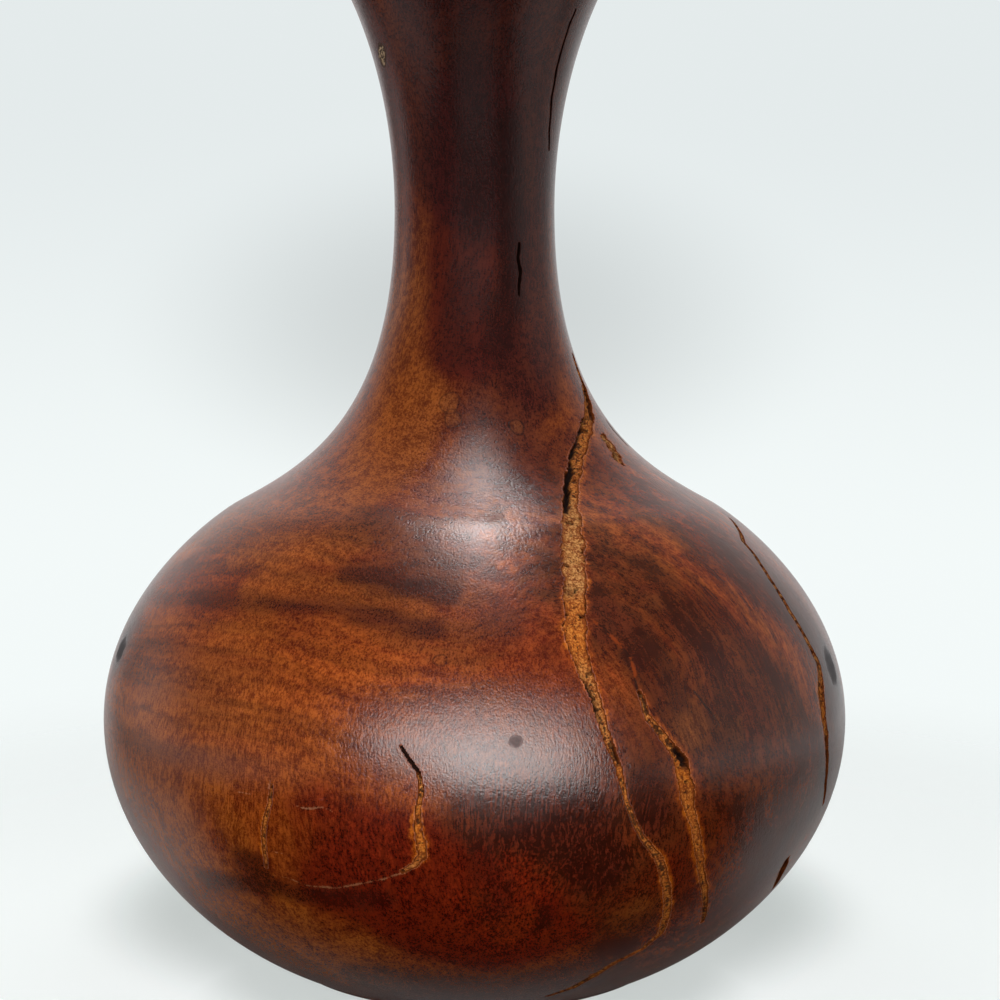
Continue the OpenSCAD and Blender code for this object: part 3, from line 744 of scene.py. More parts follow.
def nearestTo(points, places):
    # how far each point is from a line on the surface, in millimetres
    places = np.array(places, dtype=float)
    fine = np.linspace(0, len(places) - 1, (len(places) - 1) * 5 + 1)
    angle = np.interp(fine, np.arange(len(places)), places[:, 0])
    z = np.interp(fine, np.arange(len(places)), places[:, 1]) * mm
    line = surfacePoint(angle, z)
    nearest = np.full(len(points), 1e9)
    for a, b in zip(line, line[1:]):
        way = b - a
        t = np.clip(((points - a) @ way) / max(1e-12, way @ way), 0, 1)
        nearest = np.minimum(nearest, np.linalg.norm(points - (a + t[:, None] * way), axis=1))
    return nearest / mm


def brushed(points, strokes):
    left = np.ones(len(points))
    for half, soft, strength, *places in strokes:
        x = np.clip(1 - (nearestTo(points, places) - half) / soft, 0, 1)
        left *= 1 - strength * x * x * (3 - 2 * x)
    return 1 - left


def lineGaps(points, lines):
    return np.minimum(np.min([nearestTo(points, line) for line in lines], axis=0), 9.0)


def ovalTones(points, rows):
    tone = np.zeros(len(points))
    for angle, z, wide, high, light in rows:
        centre = surfacePoint(np.array(angle), np.array(z * mm))
        normal = surfaceNormal(np.array(angle), np.array(z * mm))
        across = np.cross([0.0, 0.0, 1.0], normal)
        across /= np.linalg.norm(across)
        upward = np.cross(normal, across)
        off = points - centre
        reach = np.hypot(off @ across / (wide * mm), off @ upward / (high * mm))
        reach = np.where(np.abs(off @ normal) < 2 * mm, reach, 9.0)
        tone = np.maximum(tone, light * np.clip((1.1 - reach) / 0.50, 0, 1))
    return tone


def markMesh(mesh, marks):
    for name, values in marks.items():
        layer = mesh.attributes.new(name, "FLOAT", "POINT")
        layer.data.foreach_set("value", np.asarray(values, dtype=np.float32))


coords = np.empty(len(body.data.vertices) * 3)
body.data.vertices.foreach_get("co", coords)
coords = coords.reshape(-1, 3)
marks = dict(seamMarks)
marks["darkFigure"] = brushed(coords, darkStrokes)
marks["honeyFigure"] = brushed(coords, honeyStrokes)
marks["plumFigure"] = brushed(coords, plumStrokes)
marks["redFigure"] = brushed(coords, redStrokes)
marks["umberFigure"] = brushed(coords, umberShadeStrokes)
marks["fibreFigure"] = brushed(coords, fibreStrokes)
marks["faintGap"] = lineGaps(coords, ovalLines)
marks["amberGap"] = lineGaps(coords, amberRows)
marks["ovalTone"] = ovalTones(coords, ovalRows + patchRows)
marks["deadSpot"] = ovalTones(coords, spotRows)
marks["levelGrain"] = brushed(coords, levelStrokes)
marks["slantGrain"] = brushed(coords, slantStrokes)
markMesh(body.data, marks)
print("figure brushed on")


# node helpers
def addNode(tree, kind, place, label="", **settings):
    node = tree.nodes.new(kind)
    node.location = (place[0] * 190, place[1] * -170)
    if label:
        node.label = label
    for key, value in settings.items():
        setattr(node, key, value)
    return node


def feed(tree, socket, value):
    # a number, vector or colour is set on the socket, an output is linked to it
    if isinstance(value, tuple) and socket.type == "RGBA":
        value = (*value, 1.0)
    if isinstance(value, (int, float, tuple)):
        socket.default_value = value
    elif value is not None:
        tree.links.new(value, socket)


def mathNode(tree, operation, a, b, place, clamp=False, third=None):
    node = addNode(tree, "ShaderNodeMath", place, operation=operation, use_clamp=clamp)
    for socket, value in zip(node.inputs, (a, b, third)):
        feed(tree, socket, value)
    return node.outputs[0]


def times(tree, a, b, place):
    return mathNode(tree, "MULTIPLY", a, b, place)


def spread(tree, value, low, high, place):
    # 0 at low, 1 at high, with soft ends
    node = addNode(tree, "ShaderNodeMapRange", place, interpolation_type="SMOOTHSTEP")
    feed(tree, node.inputs["Value"], value)
    feed(tree, node.inputs["From Min"], low)
    feed(tree, node.inputs["From Max"], high)
    return node.outputs["Result"]


def toneBand(tree, value, low, high, base, gain, place):
    # the base at low, the base and the gain at high
    share = spread(tree, value, low, high, place)
    return mathNode(tree, "MULTIPLY_ADD", share, gain, (place[0] + 1, place[1]), third=base)


def underLine(tree, gap, low, high, place):
    # 1 on a thin line, 0 away from it
    return mathNode(tree, "SUBTRACT", 1.0, spread(tree, gap, low, high, place), (place[0] + 1, place[1]))


def weightedSum(tree, parts, offset, place, clamp=False):
    # the sum of value times weight, plus an offset
    total = offset
    for number, (value, weight) in enumerate(parts):
        last = number == len(parts) - 1
        total = mathNode(tree, "MULTIPLY_ADD", value, weight, (place[0] + number, place[1]),
                         clamp=clamp and last, third=total)
    return total


def mixValues(tree, factor, a, b, place):
    node = addNode(tree, "ShaderNodeMix", place, data_type="FLOAT")
    for index, value in ((0, factor), (2, a), (3, b)):
        feed(tree, node.inputs[index], value)
    return node.outputs[0]


def blendColours(tree, factor, a, b, place, mode="MIX"):
    node = addNode(tree, "ShaderNodeMix", place, data_type="RGBA", blend_type=mode)
    for index, value in ((0, factor), (6, a), (7, b)):
        feed(tree, node.inputs[index], value)
    return node.outputs[2]


def layOver(tree, colour, mask, cover, tint, place, maskPlace):
    # a tint over the colour where the mask is, which covers at most its share
    return blendColours(tree, times(tree, mask, cover, maskPlace), colour, tint, place)


def shadeColour(tree, value, place):
    node = addNode(tree, "ShaderNodeCombineColor", place)
    for socket in node.inputs:
        tree.links.new(value, socket)
    return node.outputs[0]


def timesTone(tree, colour, tone, place, tonePlace):
    # the colour, darker or lighter by a grey tone
    return blendColours(tree, 1.0, colour, shadeColour(tree, tone, tonePlace), place, mode="MULTIPLY")


def noiseNode(tree, vector, scale, detail, place, rough=0.5, distortion=0.0, label=""):
    node = addNode(tree, "ShaderNodeTexNoise", place, label=label)
    feed(tree, node.inputs["Scale"], scale)
    node.inputs["Detail"].default_value = detail
    node.inputs["Roughness"].default_value = rough
    node.inputs["Distortion"].default_value = distortion
    tree.links.new(vector, node.inputs["Vector"])
    return node.outputs["Fac"]


def addBump(tree, shader, height, distance, place, strength=1.0):
    bump = addNode(tree, "ShaderNodeBump", place)
    bump.inputs["Strength"].default_value = strength
    bump.inputs["Distance"].default_value = distance
    tree.links.new(height, bump.inputs["Height"])
    tree.links.new(bump.outputs[0], shader.inputs["Normal"])


def mark(tree, name, place):
    node = addNode(tree, "ShaderNodeAttribute", place, label=name, attribute_name=name)
    return node.outputs["Fac"]


def newGroup(name, inputs, outputs):
    tree = bpy.data.node_groups.new(name, "ShaderNodeTree")
    for label, kind, value in inputs:
        socket = tree.interface.new_socket(label, in_out="INPUT", socket_type=kind)
        if value is not None:
            socket.default_value = value
    for label, kind in outputs:
        tree.interface.new_socket(label, in_out="OUTPUT", socket_type=kind)
    return tree, addNode(tree, "NodeGroupInput", (-5, 0)), addNode(tree, "NodeGroupOutput", (6, 0))


def placeGroup(tree, group, place, **values):
    node = addNode(tree, "ShaderNodeGroup", place, label=group.name)
    node.node_tree = group
    for key, value in values.items():
        feed(tree, node.inputs[key], value)
    return node


# shared effects
def makeWoodFibres():
    # long thin fibres along the stretch direction, and short pores between them
    tree, start, end = newGroup("woodFibres", [
        ("Vector", "NodeSocketVector", None), ("Turn", "NodeSocketVector", (0.0, 0.0, 0.0)),
        ("Stretch", "NodeSocketVector", (1.0, 1.0, 0.12)), ("Fineness", "NodeSocketFloat", 1500.0)],
        [("Fibre", "NodeSocketFloat"), ("Pore", "NodeSocketFloat")])
    fineness = start.outputs["Fineness"]
    turn = addNode(tree, "ShaderNodeVectorRotate", (-4, 0), rotation_type="EULER_XYZ")
    tree.links.new(start.outputs["Vector"], turn.inputs["Vector"])
    tree.links.new(start.outputs["Turn"], turn.inputs["Rotation"])
    stretch = addNode(tree, "ShaderNodeVectorMath", (-3, 0), operation="MULTIPLY")
    tree.links.new(turn.outputs[0], stretch.inputs[0])
    tree.links.new(start.outputs["Stretch"], stretch.inputs[1])
    fibre = noiseNode(tree, stretch.outputs[0], fineness, 3.0, (-1, 0), rough=0.62, label="fibres")
    finer = times(tree, fineness, 1.9, (-3, 2))
    pore = noiseNode(tree, stretch.outputs[0], finer, 1.0, (-1, 2), label="pores")
    tree.links.new(fibre, end.inputs["Fibre"])
    tree.links.new(spread(tree, pore, 0.62, 0.74, (2, 2)), end.inputs["Pore"])
    return tree


def makeRaggedMask():
    # a soft brushed mask, broken up by a pattern so that its edge follows the grain
    tree, start, end = newGroup("raggedMask", [
        ("Mask", "NodeSocketFloat", 0.0), ("Pattern", "NodeSocketFloat", 0.5),
        ("Break", "NodeSocketFloat", 0.6), ("Edge", "NodeSocketFloat", 0.25)], [("Mask", "NodeSocketFloat")])
    mask = start.outputs["Mask"]
    centred = mathNode(tree, "SUBTRACT", start.outputs["Pattern"], 0.5, (-4, 1))
    broken = mathNode(tree, "MULTIPLY_ADD", centred, start.outputs["Break"], (-2, 0), third=mask)
    low = mathNode(tree, "SUBTRACT", 0.5, start.outputs["Edge"], (-2, 2))
    high = mathNode(tree, "ADD", 0.5, start.outputs["Edge"], (-2, 3))
    gate = spread(tree, mask, 0.0, 0.25, (1, 3))
    ragged = times(tree, spread(tree, broken, low, high, (1, 0)), gate, (4, 0))
    tree.links.new(ragged, end.inputs["Mask"])
    return tree


def makeSatinSkin():
    # the tiny unevenness of an oiled and waxed surface, as a height
    tree, start, end = newGroup("satinSkin", [
        ("Vector", "NodeSocketVector", None), ("Fineness", "NodeSocketFloat", 2400.0)],
        [("Height", "NodeSocketFloat")])
    vector = start.outputs["Vector"]
    fine = noiseNode(tree, vector, start.outputs["Fineness"], 2.0, (-2, 0), label="skin")
    slow = noiseNode(tree, vector, 160.0, 2.0, (-2, 2), label="sanding waves")
    tree.links.new(mathNode(tree, "MULTIPLY_ADD", slow, 1.2, (1, 0), third=fine), end.inputs["Height"])
    return tree


woodFibres = makeWoodFibres()
raggedMask = makeRaggedMask()
satinSkin = makeSatinSkin()


def newMaterial(name, roughness, specular):
    # a material with its shader, and the place on the object that its patterns read
    material = bpy.data.materials.new(name)
    material.use_nodes = True
    tree = material.node_tree
    shader = tree.nodes["Principled BSDF"]
    shader.location = (2600, 0)
    tree.nodes["Material Output"].location = (2900, 0)
    shader.inputs["Roughness"].default_value = roughness
    shader.inputs["Specular IOR Level"].default_value = specular
    where = addNode(tree, "ShaderNodeTexCoord", (-8, 0)).outputs["Object"]
    return material, tree, shader, where


# oiled burl wood: its colours, and how much each layer covers of what lies under it
burlLook = {
    "honey": (0.33, 0.080, 0.0095), "warmBrown": (0.255, 0.050, 0.0064), "redBrown": (0.170, 0.026, 0.0045),
    "dark": (0.036, 0.0048, 0.0026), "plum": (0.054, 0.0052, 0.0050), "red": (0.105, 0.0064, 0.0018),
    "umber": (0.078, 0.0165, 0.0042), "amber": (0.42, 0.105, 0.008), "dead": (0.016, 0.008, 0.011),
    "glowEdge": (0.27, 0.042, 0.005), "seamWall": (0.080, 0.020, 0.005), "hairline": (0.016, 0.005, 0.003),
    "sap": (0.46, 0.24, 0.12), "twig": (0.26, 0.070, 0.014),
    "darkFleck": (0.56, 0.42, 0.36), "lightFleck": (1.46, 1.60, 1.66), "fibreLow": 0.62, "fibreGain": 1.13,
    "drift": (0.022, 0.022, 0.022), "slantTurn": (0.0, 0.50, 0.5),
    "roughness": 0.205, "polish": 0.16, "hairRough": 0.42, "spotRough": 0.55,
    "specular": 0.9, "skinHeight": 0.00005, "skinFineness": 2300.0,
}
burlCover = {"dark": 0.80, "twig": 0.70, "glow": 0.85, "knotShade": 0.25, "thread": 0.85, "hairline": 0.92,
             "sap": 0.45, "faint": 0.50, "dead": 0.92}
# its grain: [stretch, fineness, does it slant]
burlGrain = {
    "upright": [(1.0, 1.0, 0.10), 300.0, False], "level": [(0.16, 0.16, 1.0), 340.0, False],
    "slant": [(1.0, 1.0, 0.12), 320.0, True], "fineUpright": [(1.0, 1.0, 0.26), 2100.0, False],
    "fineSlant": [(1.0, 1.0, 0.2), 1700.0, True], "longFibre": [(1.0, 1.0, 0.06), 1500.0, False],
    "levelStreak": [(0.07, 0.07, 1.0), 250.0, False], "slantStreak": [(1.0, 1.0, 0.06), 230.0, True],
}
# its brushed tones: [mark, pattern that breaks it, how much, softness of its edge, cover, colour]
# umber darkens the right of the belly and low places, partly as painted shade
burlTones = [
    ["honeyFigure", "clouds", 0.9, 0.42, 0.62, "honey"], ["redFigure", "figure", 0.9, 0.45, 0.88, "red"],
    ["plumFigure", "clouds", 0.8, 0.45, 0.82, "plum"], ["umberFigure", "figure", 1.2, 0.50, 0.85, "umber"],
]


def makeBurlWood(look, cover):
    material, tree, shader, where = newMaterial("oiled burl wood", look["roughness"], look["specular"])
    drift = noiseNode(tree, where, 16.0, 2.0, (-7, 1), label="slow drift").node.outputs["Color"]
    moved = addNode(tree, "ShaderNodeVectorMath", (-6, 0), operation="MULTIPLY_ADD")
    for socket, value in zip(moved.inputs, (drift, look["drift"], where)):
        feed(tree, socket, value)
    flow = moved.outputs[0]

    # figure along three grain directions, chosen by the brushed marks, and short flecks
    grain = {}
    for number, (name, (stretch, fineness, slants)) in enumerate(burlGrain.items()):
        turn = look["slantTurn"] if slants else (0.0, 0.0, 0.0)
        node = placeGroup(tree, woodFibres, (-4, 2 * number), Vector=flow, Turn=turn, Stretch=stretch,
                          Fineness=fineness)
        grain[name] = node.outputs["Fibre"]
    levelMark = mark(tree, "levelGrain", (-5, 6))
    slantMark = mark(tree, "slantGrain", (-5, 7))
    figure = mixValues(tree, levelMark, grain["upright"], grain["level"], (-2, 1))
    figure = mixValues(tree, slantMark, figure, grain["slant"], (-1, 2))
    fine = mixValues(tree, slantMark, grain["fineUpright"], grain["fineSlant"], (-2, 9))
    clouds = noiseNode(tree, flow, 42.0, 4.0, (-4, 17), rough=0.6, label="clouds")
    mottle = noiseNode(tree, flow, 480.0, 3.0, (-4, 18), rough=0.6, label="mottling")
    flecks = noiseNode(tree, where, 3000.0, 1.0, (-4, 19), label="flecks")

    # ground colour and the brushed tones over it
    ground = weightedSum(tree, [(figure, 0.45), (clouds, 0.35), (mottle, 0.2)], 0.0, (0, 1))
    colour = blendColours(tree, spread(tree, ground, 0.40, 0.60, (3, 1)), look["redBrown"],
                          look["warmBrown"], (4, 1))
    patterns = {"clouds": clouds, "figure": figure}
    for number, (name, pattern, broken, edge, share, tint) in enumerate(burlTones):
        mask = placeGroup(tree, raggedMask, (4 + number, 4), Mask=mark(tree, name, (2 + number, 5)),
                          Pattern=patterns[pattern], Break=broken, Edge=edge)
        colour = layOver(tree, colour, mask.outputs[0], share, look[tint], (5 + number, 1), (5 + number, 3))
    crumbled = weightedSum(tree, [(fine, 0.3), (figure, 0.3), (mottle, 0.4)], 0.0, (3, 8))
    darkMark = times(tree, mark(tree, "darkFigure", (5, 9)), 0.9, (6, 7))
    dark = placeGroup(tree, raggedMask, (7, 7), Mask=darkMark, Pattern=crumbled, Break=1.5, Edge=0.45)
    colour = layOver(tree, colour, dark.outputs[0], cover["dark"], look["dark"], (8, 1), (8, 6))
    ovalTone = mark(tree, "ovalTone", (7, 8))
    colour = layOver(tree, colour, ovalTone, cover["twig"], look["twig"], (9, 1), (8, 8))

    # long streaks that follow the grain on both sides of the belly
    levelTone = toneBand(tree, grain["levelStreak"], 0.40, 0.60, 0.83, 0.34, (5, 18))
    slantTone = toneBand(tree, grain["slantStreak"], 0.40, 0.60, 0.70, 0.60, (5, 20))
    streaks = mixValues(tree, levelMark, 1.0, levelTone, (7, 18))
    streaks = mixValues(tree, slantMark, streaks, slantTone, (8, 18))
    colour = timesTone(tree, colour, streaks, (9, 2), (9, 18))

    # flecks, mottling and long fibres over it
    tone = weightedSum(tree, [(fine, 3.2), (flecks, 1.8), (mottle, 1.5), (figure, 1.1)], -3.30, (6, 10),
                       clamp=True)
    fleckTone = blendColours(tree, tone, look["darkFleck"], look["lightFleck"], (10, 10))
    colour = blendColours(tree, 1.0, colour, fleckTone, (10, 1), mode="MULTIPLY")
    fibreTone = toneBand(tree, grain["longFibre"], 0.42, 0.64, look["fibreLow"], look["fibreGain"], (6, 12))
    fibreTone = mixValues(tree, mark(tree, "fibreFigure", (7, 13)), 1.0, fibreTone, (8, 12))
    colour = timesTone(tree, colour, fibreTone, (11, 1), (10, 12))

    # amber glow beside the seams, and a shade round the knots
    gap = mark(tree, "seamGap", (6, 14))
    seamGlow = mark(tree, "seamGlow", (6, 17))
    glow = weightedSum(tree, [(seamGlow, 1.0), (clouds, 0.9), (mottle, 0.9), (fine, 0.5)], -1.15, (7, 17))
    nearSeam = spread(tree, seamGlow, 0.0, 0.2, (10, 18))
    glowMask = times(tree, spread(tree, glow, 0.22, 0.95, (11, 17)), nearSeam, (12, 17))
    glowTone = blendColours(tree, spread(tree, glow, 0.45, 1.0, (11, 19)), look["glowEdge"],
                            look["amber"], (12, 19))
    glowTone = blendColours(tree, 1.0, glowTone, fleckTone, (13, 19), mode="MULTIPLY")
    colour = layOver(tree, colour, glowMask, cover["glow"], glowTone, (14, 1), (13, 17))
    knotShade = underLine(tree, mark(tree, "knotGap", (7, 23)), -0.1, 0.9, (8, 23))
    colour = layOver(tree, colour, knotShade, cover["knotShade"], look["umber"], (14, 2), (10, 23))

    # dark edges of the seams, hairlines, old sap, outlines of twig ends and dead spots
    tornGap = weightedSum(tree, [(flecks, 0.5), (gap, 1.0)], -0.25, (7, 16))
    wallMask = underLine(tree, tornGap, -0.10, 0.16, (9, 15))
    crackMark = mark(tree, "crackMark", (6, 15))
    wallTone = blendColours(tree, crackMark, look["seamWall"], look["hairline"], (11, 14))
    colour = blendColours(tree, wallMask, colour, wallTone, (15, 1))
    amberGap = mark(tree, "amberGap", (8, 25))
    thread = weightedSum(tree, [(amberGap, 1.0), (mottle, -0.8), (flecks, -0.4)], 0.6, (9, 25))
    threadMask = underLine(tree, thread, 0.10, 0.50, (12, 25))
    threadTone = blendColours(tree, spread(tree, mottle, 0.42, 0.60, (10, 26)), look["hairline"],
                              look["glowEdge"], (11, 25))
    colour = layOver(tree, colour, threadMask, cover["thread"], threadTone, (15, 2), (14, 25))
    hairMask = underLine(tree, mark(tree, "hairGap", (8, 20)), 0.12, 0.38, (9, 20))
    colour = layOver(tree, colour, hairMask, cover["hairline"], look["hairline"], (16, 1), (11, 20))
    paleGap = mark(tree, "paleGap", (8, 21))
    beads = weightedSum(tree, [(paleGap, 1.0), (mottle, -0.9), (flecks, -0.5)], 0.7, (9, 21))
    beadMask = underLine(tree, beads, 0.02, 0.28, (12, 21))
    colour = layOver(tree, colour, beadMask, cover["sap"], look["sap"], (17, 1), (14, 21))
    faint = underLine(tree, mark(tree, "faintGap", (8, 22)), 0.08, 0.34, (9, 22))
    colour = layOver(tree, colour, faint, cover["faint"], look["hairline"], (18, 1), (11, 22))
    spot = weightedSum(tree, [(mark(tree, "deadSpot", (10, 30)), 1.0), (mottle, 0.5)], -0.30, (11, 30))
    spotMask = spread(tree, spot, 0.05, 1.0, (13, 30))
    colour = layOver(tree, colour, spotMask, cover["dead"], look["dead"], (19, 1), (15, 30))
    tree.links.new(colour, shader.inputs["Base Color"])

    # satin skin, duller beside the seams, on hairlines and on dead spots
    skin = placeGroup(tree, satinSkin, (8, 24), Vector=where, Fineness=look["skinFineness"])
    height = mathNode(tree, "MULTIPLY_ADD", fine, 1.3, (10, 24), third=skin.outputs[0])
    addBump(tree, shader, height, look["skinHeight"], (12, 24))
    polish = noiseNode(tree, where, 60.0, 3.0, (10, 26), label="uneven polish")
    roughness = mathNode(tree, "MULTIPLY_ADD", polish, look["polish"], (12, 26),
                         third=look["roughness"] - look["polish"] / 2)
    dull = mathNode(tree, "MAXIMUM", underLine(tree, gap, 0.10, 0.70, (10, 27)),
                    times(tree, hairMask, look["hairRough"], (11, 28)), (12, 27))
    dull = mathNode(tree, "MAXIMUM", dull, times(tree, spotMask, look["spotRough"], (13, 29)), (14, 28))
    tree.links.new(mathNode(tree, "MAXIMUM", roughness, dull, (15, 26)), shader.inputs["Roughness"])
    return material


# bare turned wood inside the belly and under the foot
bareLook = {"pale": (0.40, 0.20, 0.09), "dark": (0.20, 0.08, 0.035), "roughness": 0.72, "specular": 0.3}


def makeBareWood(name, look):
    material, tree, shader, where = newMaterial(name, look["roughness"], look["specular"])
    fibres = placeGroup(tree, woodFibres, (-2, 0), Vector=where, Stretch=(0.2, 1.0, 1.0), Fineness=520.0)
    clouds = noiseNode(tree, where, 45.0, 3.0, (-2, 2), label="clouds")
    tone = weightedSum(tree, [(clouds, 0.4), (fibres.outputs["Fibre"], 0.6)], 0.0, (-1, 1))
    colour = blendColours(tree, spread(tree, tone, 0.38, 0.62, (1, 0)), look["dark"], look["pale"], (2, 0))
    colour = layOver(tree, colour, fibres.outputs["Pore"], 0.6, look["dark"], (3, 0), (2, 2))
    tree.links.new(colour, shader.inputs["Base Color"])
    # fine turning marks left by the gouge
    gouge = addNode(tree, "ShaderNodeTexWave", (0, 4), label="turning marks", bands_direction="Z")
    gouge.inputs["Scale"].default_value = 260.0
    gouge.inputs["Distortion"].default_value = 0.6
    tree.links.new(where, gouge.inputs["Vector"])
    height = mathNode(tree, "ADD", gouge.outputs["Fac"], fibres.outputs["Fibre"], (2, 4))
    addBump(tree, shader, height, 0.00008, (3, 4))
    return material


# the walls of the seams, painted darker the deeper they go, as shade, and darkest in cracks
wallLook = {"edge": (0.16, 0.036, 0.006), "middle": (0.060, 0.015, 0.004), "deep": (0.014, 0.005, 0.003),
            "roughness": 0.92, "specular": 0.08}


def makeTornWood(look):
    material, tree, shader, where = newMaterial("torn seam walls with painted shade", look["roughness"], look["specular"])
    crumbs = noiseNode(tree, where, 1300.0, 2.0, (-2, 0), label="crumbs")
    deep = weightedSum(tree, [(mark(tree, "seamDeep", (-2, 2)), 1.0), (crumbs, 1.4)], -0.7, (-1, 2))
    # darker with depth into the seam: painted shade
    colour = blendColours(tree, spread(tree, deep, 0.1, 0.8, (2, 1)), look["edge"], look["middle"], (3, 0))
    colour = blendColours(tree, spread(tree, deep, 0.6, 1.6, (3, 2)), colour, look["deep"], (4, 0))
    colour = blendColours(tree, mark(tree, "crackMark", (3, 3)), colour, look["deep"], (5, 0))
    tree.links.new(colour, shader.inputs["Base Color"])
    addBump(tree, shader, crumbs, 0.0002, (4, 4))
    return material


for material in (makeBurlWood(burlLook, burlCover), makeBareWood("bare turned wood", bareLook),
                 makeTornWood(wallLook)):
    body.data.materials.append(material)
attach(body, "vase")
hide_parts("vase_body")
print("burl wood done")

# bark in the seams
barkLook = {
    "pale": (0.66, 0.35, 0.125), "yellow": (0.68, 0.25, 0.034), "ochre": (0.42, 0.175, 0.050),
    "amber": (0.45, 0.105, 0.008), "rust": (0.24, 0.046, 0.006), "pit": (0.014, 0.005, 0.003),
    # pit is painted near-black into the open holes as shade, and is also the colour of the bark's dark dots
    "brown": (0.09, 0.026, 0.006), "roughness": 0.85, "specular": 0.15, "bump": 0.00025, "columns": 13,
    "recess": 0.50, "relief": 0.60, "tuck": 0.10, "crumbDepth": 1.2,
}
# where a seam is open, as a deeper hole painted near-black for shade: [name, millimetres up from, to, side,
# how deep, where across it begins]
openPlaces = [
    ["front_fissure_bark", 113.5, 124.0, -1, 2.6, -0.02], ["front_fissure_bark", 121.0, 134.0, -1, 1.8, 0.30],
    ["front_fissure_bark", 133.0, 142.0, 1, 1.2, 0.12],
    ["right_fissure_bark", 62.5, 68.5, 1, 2.0, 0.0], ["front_fissure_bark", 64.5, 71.0, 1, 1.2, 0.12],
    ["front_fissure_bark", 97.5, 101.0, -1, 0.9, 0.1], ["front_fissure_bark", 74.0, 84.0, -1, 1.0, 0.2],
    ["side_fissure_bark", 79.0, 112.0, -1, 1.4, -0.75], ["side_fissure_bark", 46.0, 63.0, 1, 1.4, -0.45],
    ["lower_pit_bark", 25.0, 37.0, 1, 2.4, -0.2],
]


def holeAt(name, share, z):
    # how deep a seam is open at a place across it and up it
    hole = 0.0
    for where, low, high, side, deep, start in openPlaces:
        if where == name and low < z < high:
            ends = min(1.0, (z - low) / 3.0, (high - z) / 3.0)
            over = share * side - start - 0.45 * noise.noise(Vector((z * 0.8, side, 2.0)))
            hole = max(hole, deep * ends * min(1.0, max(0.0, over / 0.28)))
    return hole


def buildBark(name, path):
    look = barkLook
    seed = list(seamPaths).index(name) * 2.7
    bm = bmesh.new()
    marks = {"barkTone": [], "barkDark": [], "barkEdge": [], "barkHoleShade": []}
    rows = []

    def addPoint(row, point, values):
        row.append(bm.verts.new(point))
        for label, value in zip(marks, values):
            marks[label].append(value)

    for i in range(2, len(path["at"]) - 2):
        left = ragged(path, i, -1, seed) + look["tuck"] * mm
        right = ragged(path, i, 1, seed) + look["tuck"] * mm
        wide = fullness(path, i)
        recess = look["recess"] * (0.35 + 0.65 * wide)
        relief = look["relief"] * (0.25 + 0.75 * wide)
        row = []
        z = path["z"][i] / mm
        tone = finishAt(name, z, amberColumn)
        dark = finishAt(name, z, darkColumn)
        # the crust across the seam
        for c in range(look["columns"]):
            share = 2 * c / (look["columns"] - 1) - 1
            off = share * (right if share > 0 else left)
            point = path["points"][i] + path["sides"][i] * off
            lump = noise.fractal(Vector(point) * 900, 0.8, 2.1, 3)
            grain = noise.noise(Vector(point) * 2300)
            crumb = noise.noise(Vector(point) * 620 + Vector((9, 2, 4)))
            cup = 0.18 + 0.82 * (1 - abs(share) ** 3)
            drop = recess * cup + relief * (0.42 * lump + 0.22 * grain)
            lost = look["crumbDepth"] * wide * min(1.0, max(0.0, (crumb - 0.40) / 0.12))
            hole = max(holeAt(name, share, z), lost)
            drop = max(0.05, drop + hole)
            point = point - path["normals"][i] * drop * mm
            # the hole's depth also marks where the bark is painted near-black, as shade
            addPoint(row, point, (tone, dark, abs(share), min(1.0, hole / 0.9)))
        # its underside, back to the left
        low = (1.3 + 2.4 * wide) * mm
        for share in (0.8, 0.0, -0.8):
            off = share * (right if share > 0 else left) * 0.8
            point = path["points"][i] + path["sides"][i] * off - path["normals"][i] * low
            addPoint(row, point, (0.5, 1.0, 1.0, 1.0))
        rows.append(row)
    size = len(rows[0])
    for a, b in zip(rows, rows[1:]):
        for k in range(size):
            bm.faces.new((a[k], a[(k + 1) % size], b[(k + 1) % size], b[k]))
    bm.faces.new(rows[0][::-1])
    bm.faces.new(rows[-1])
    smoothOut(bm)
    crust = meshPiece(bm, name + "_crust")
    markMesh(crust.data, marks)
    return crust


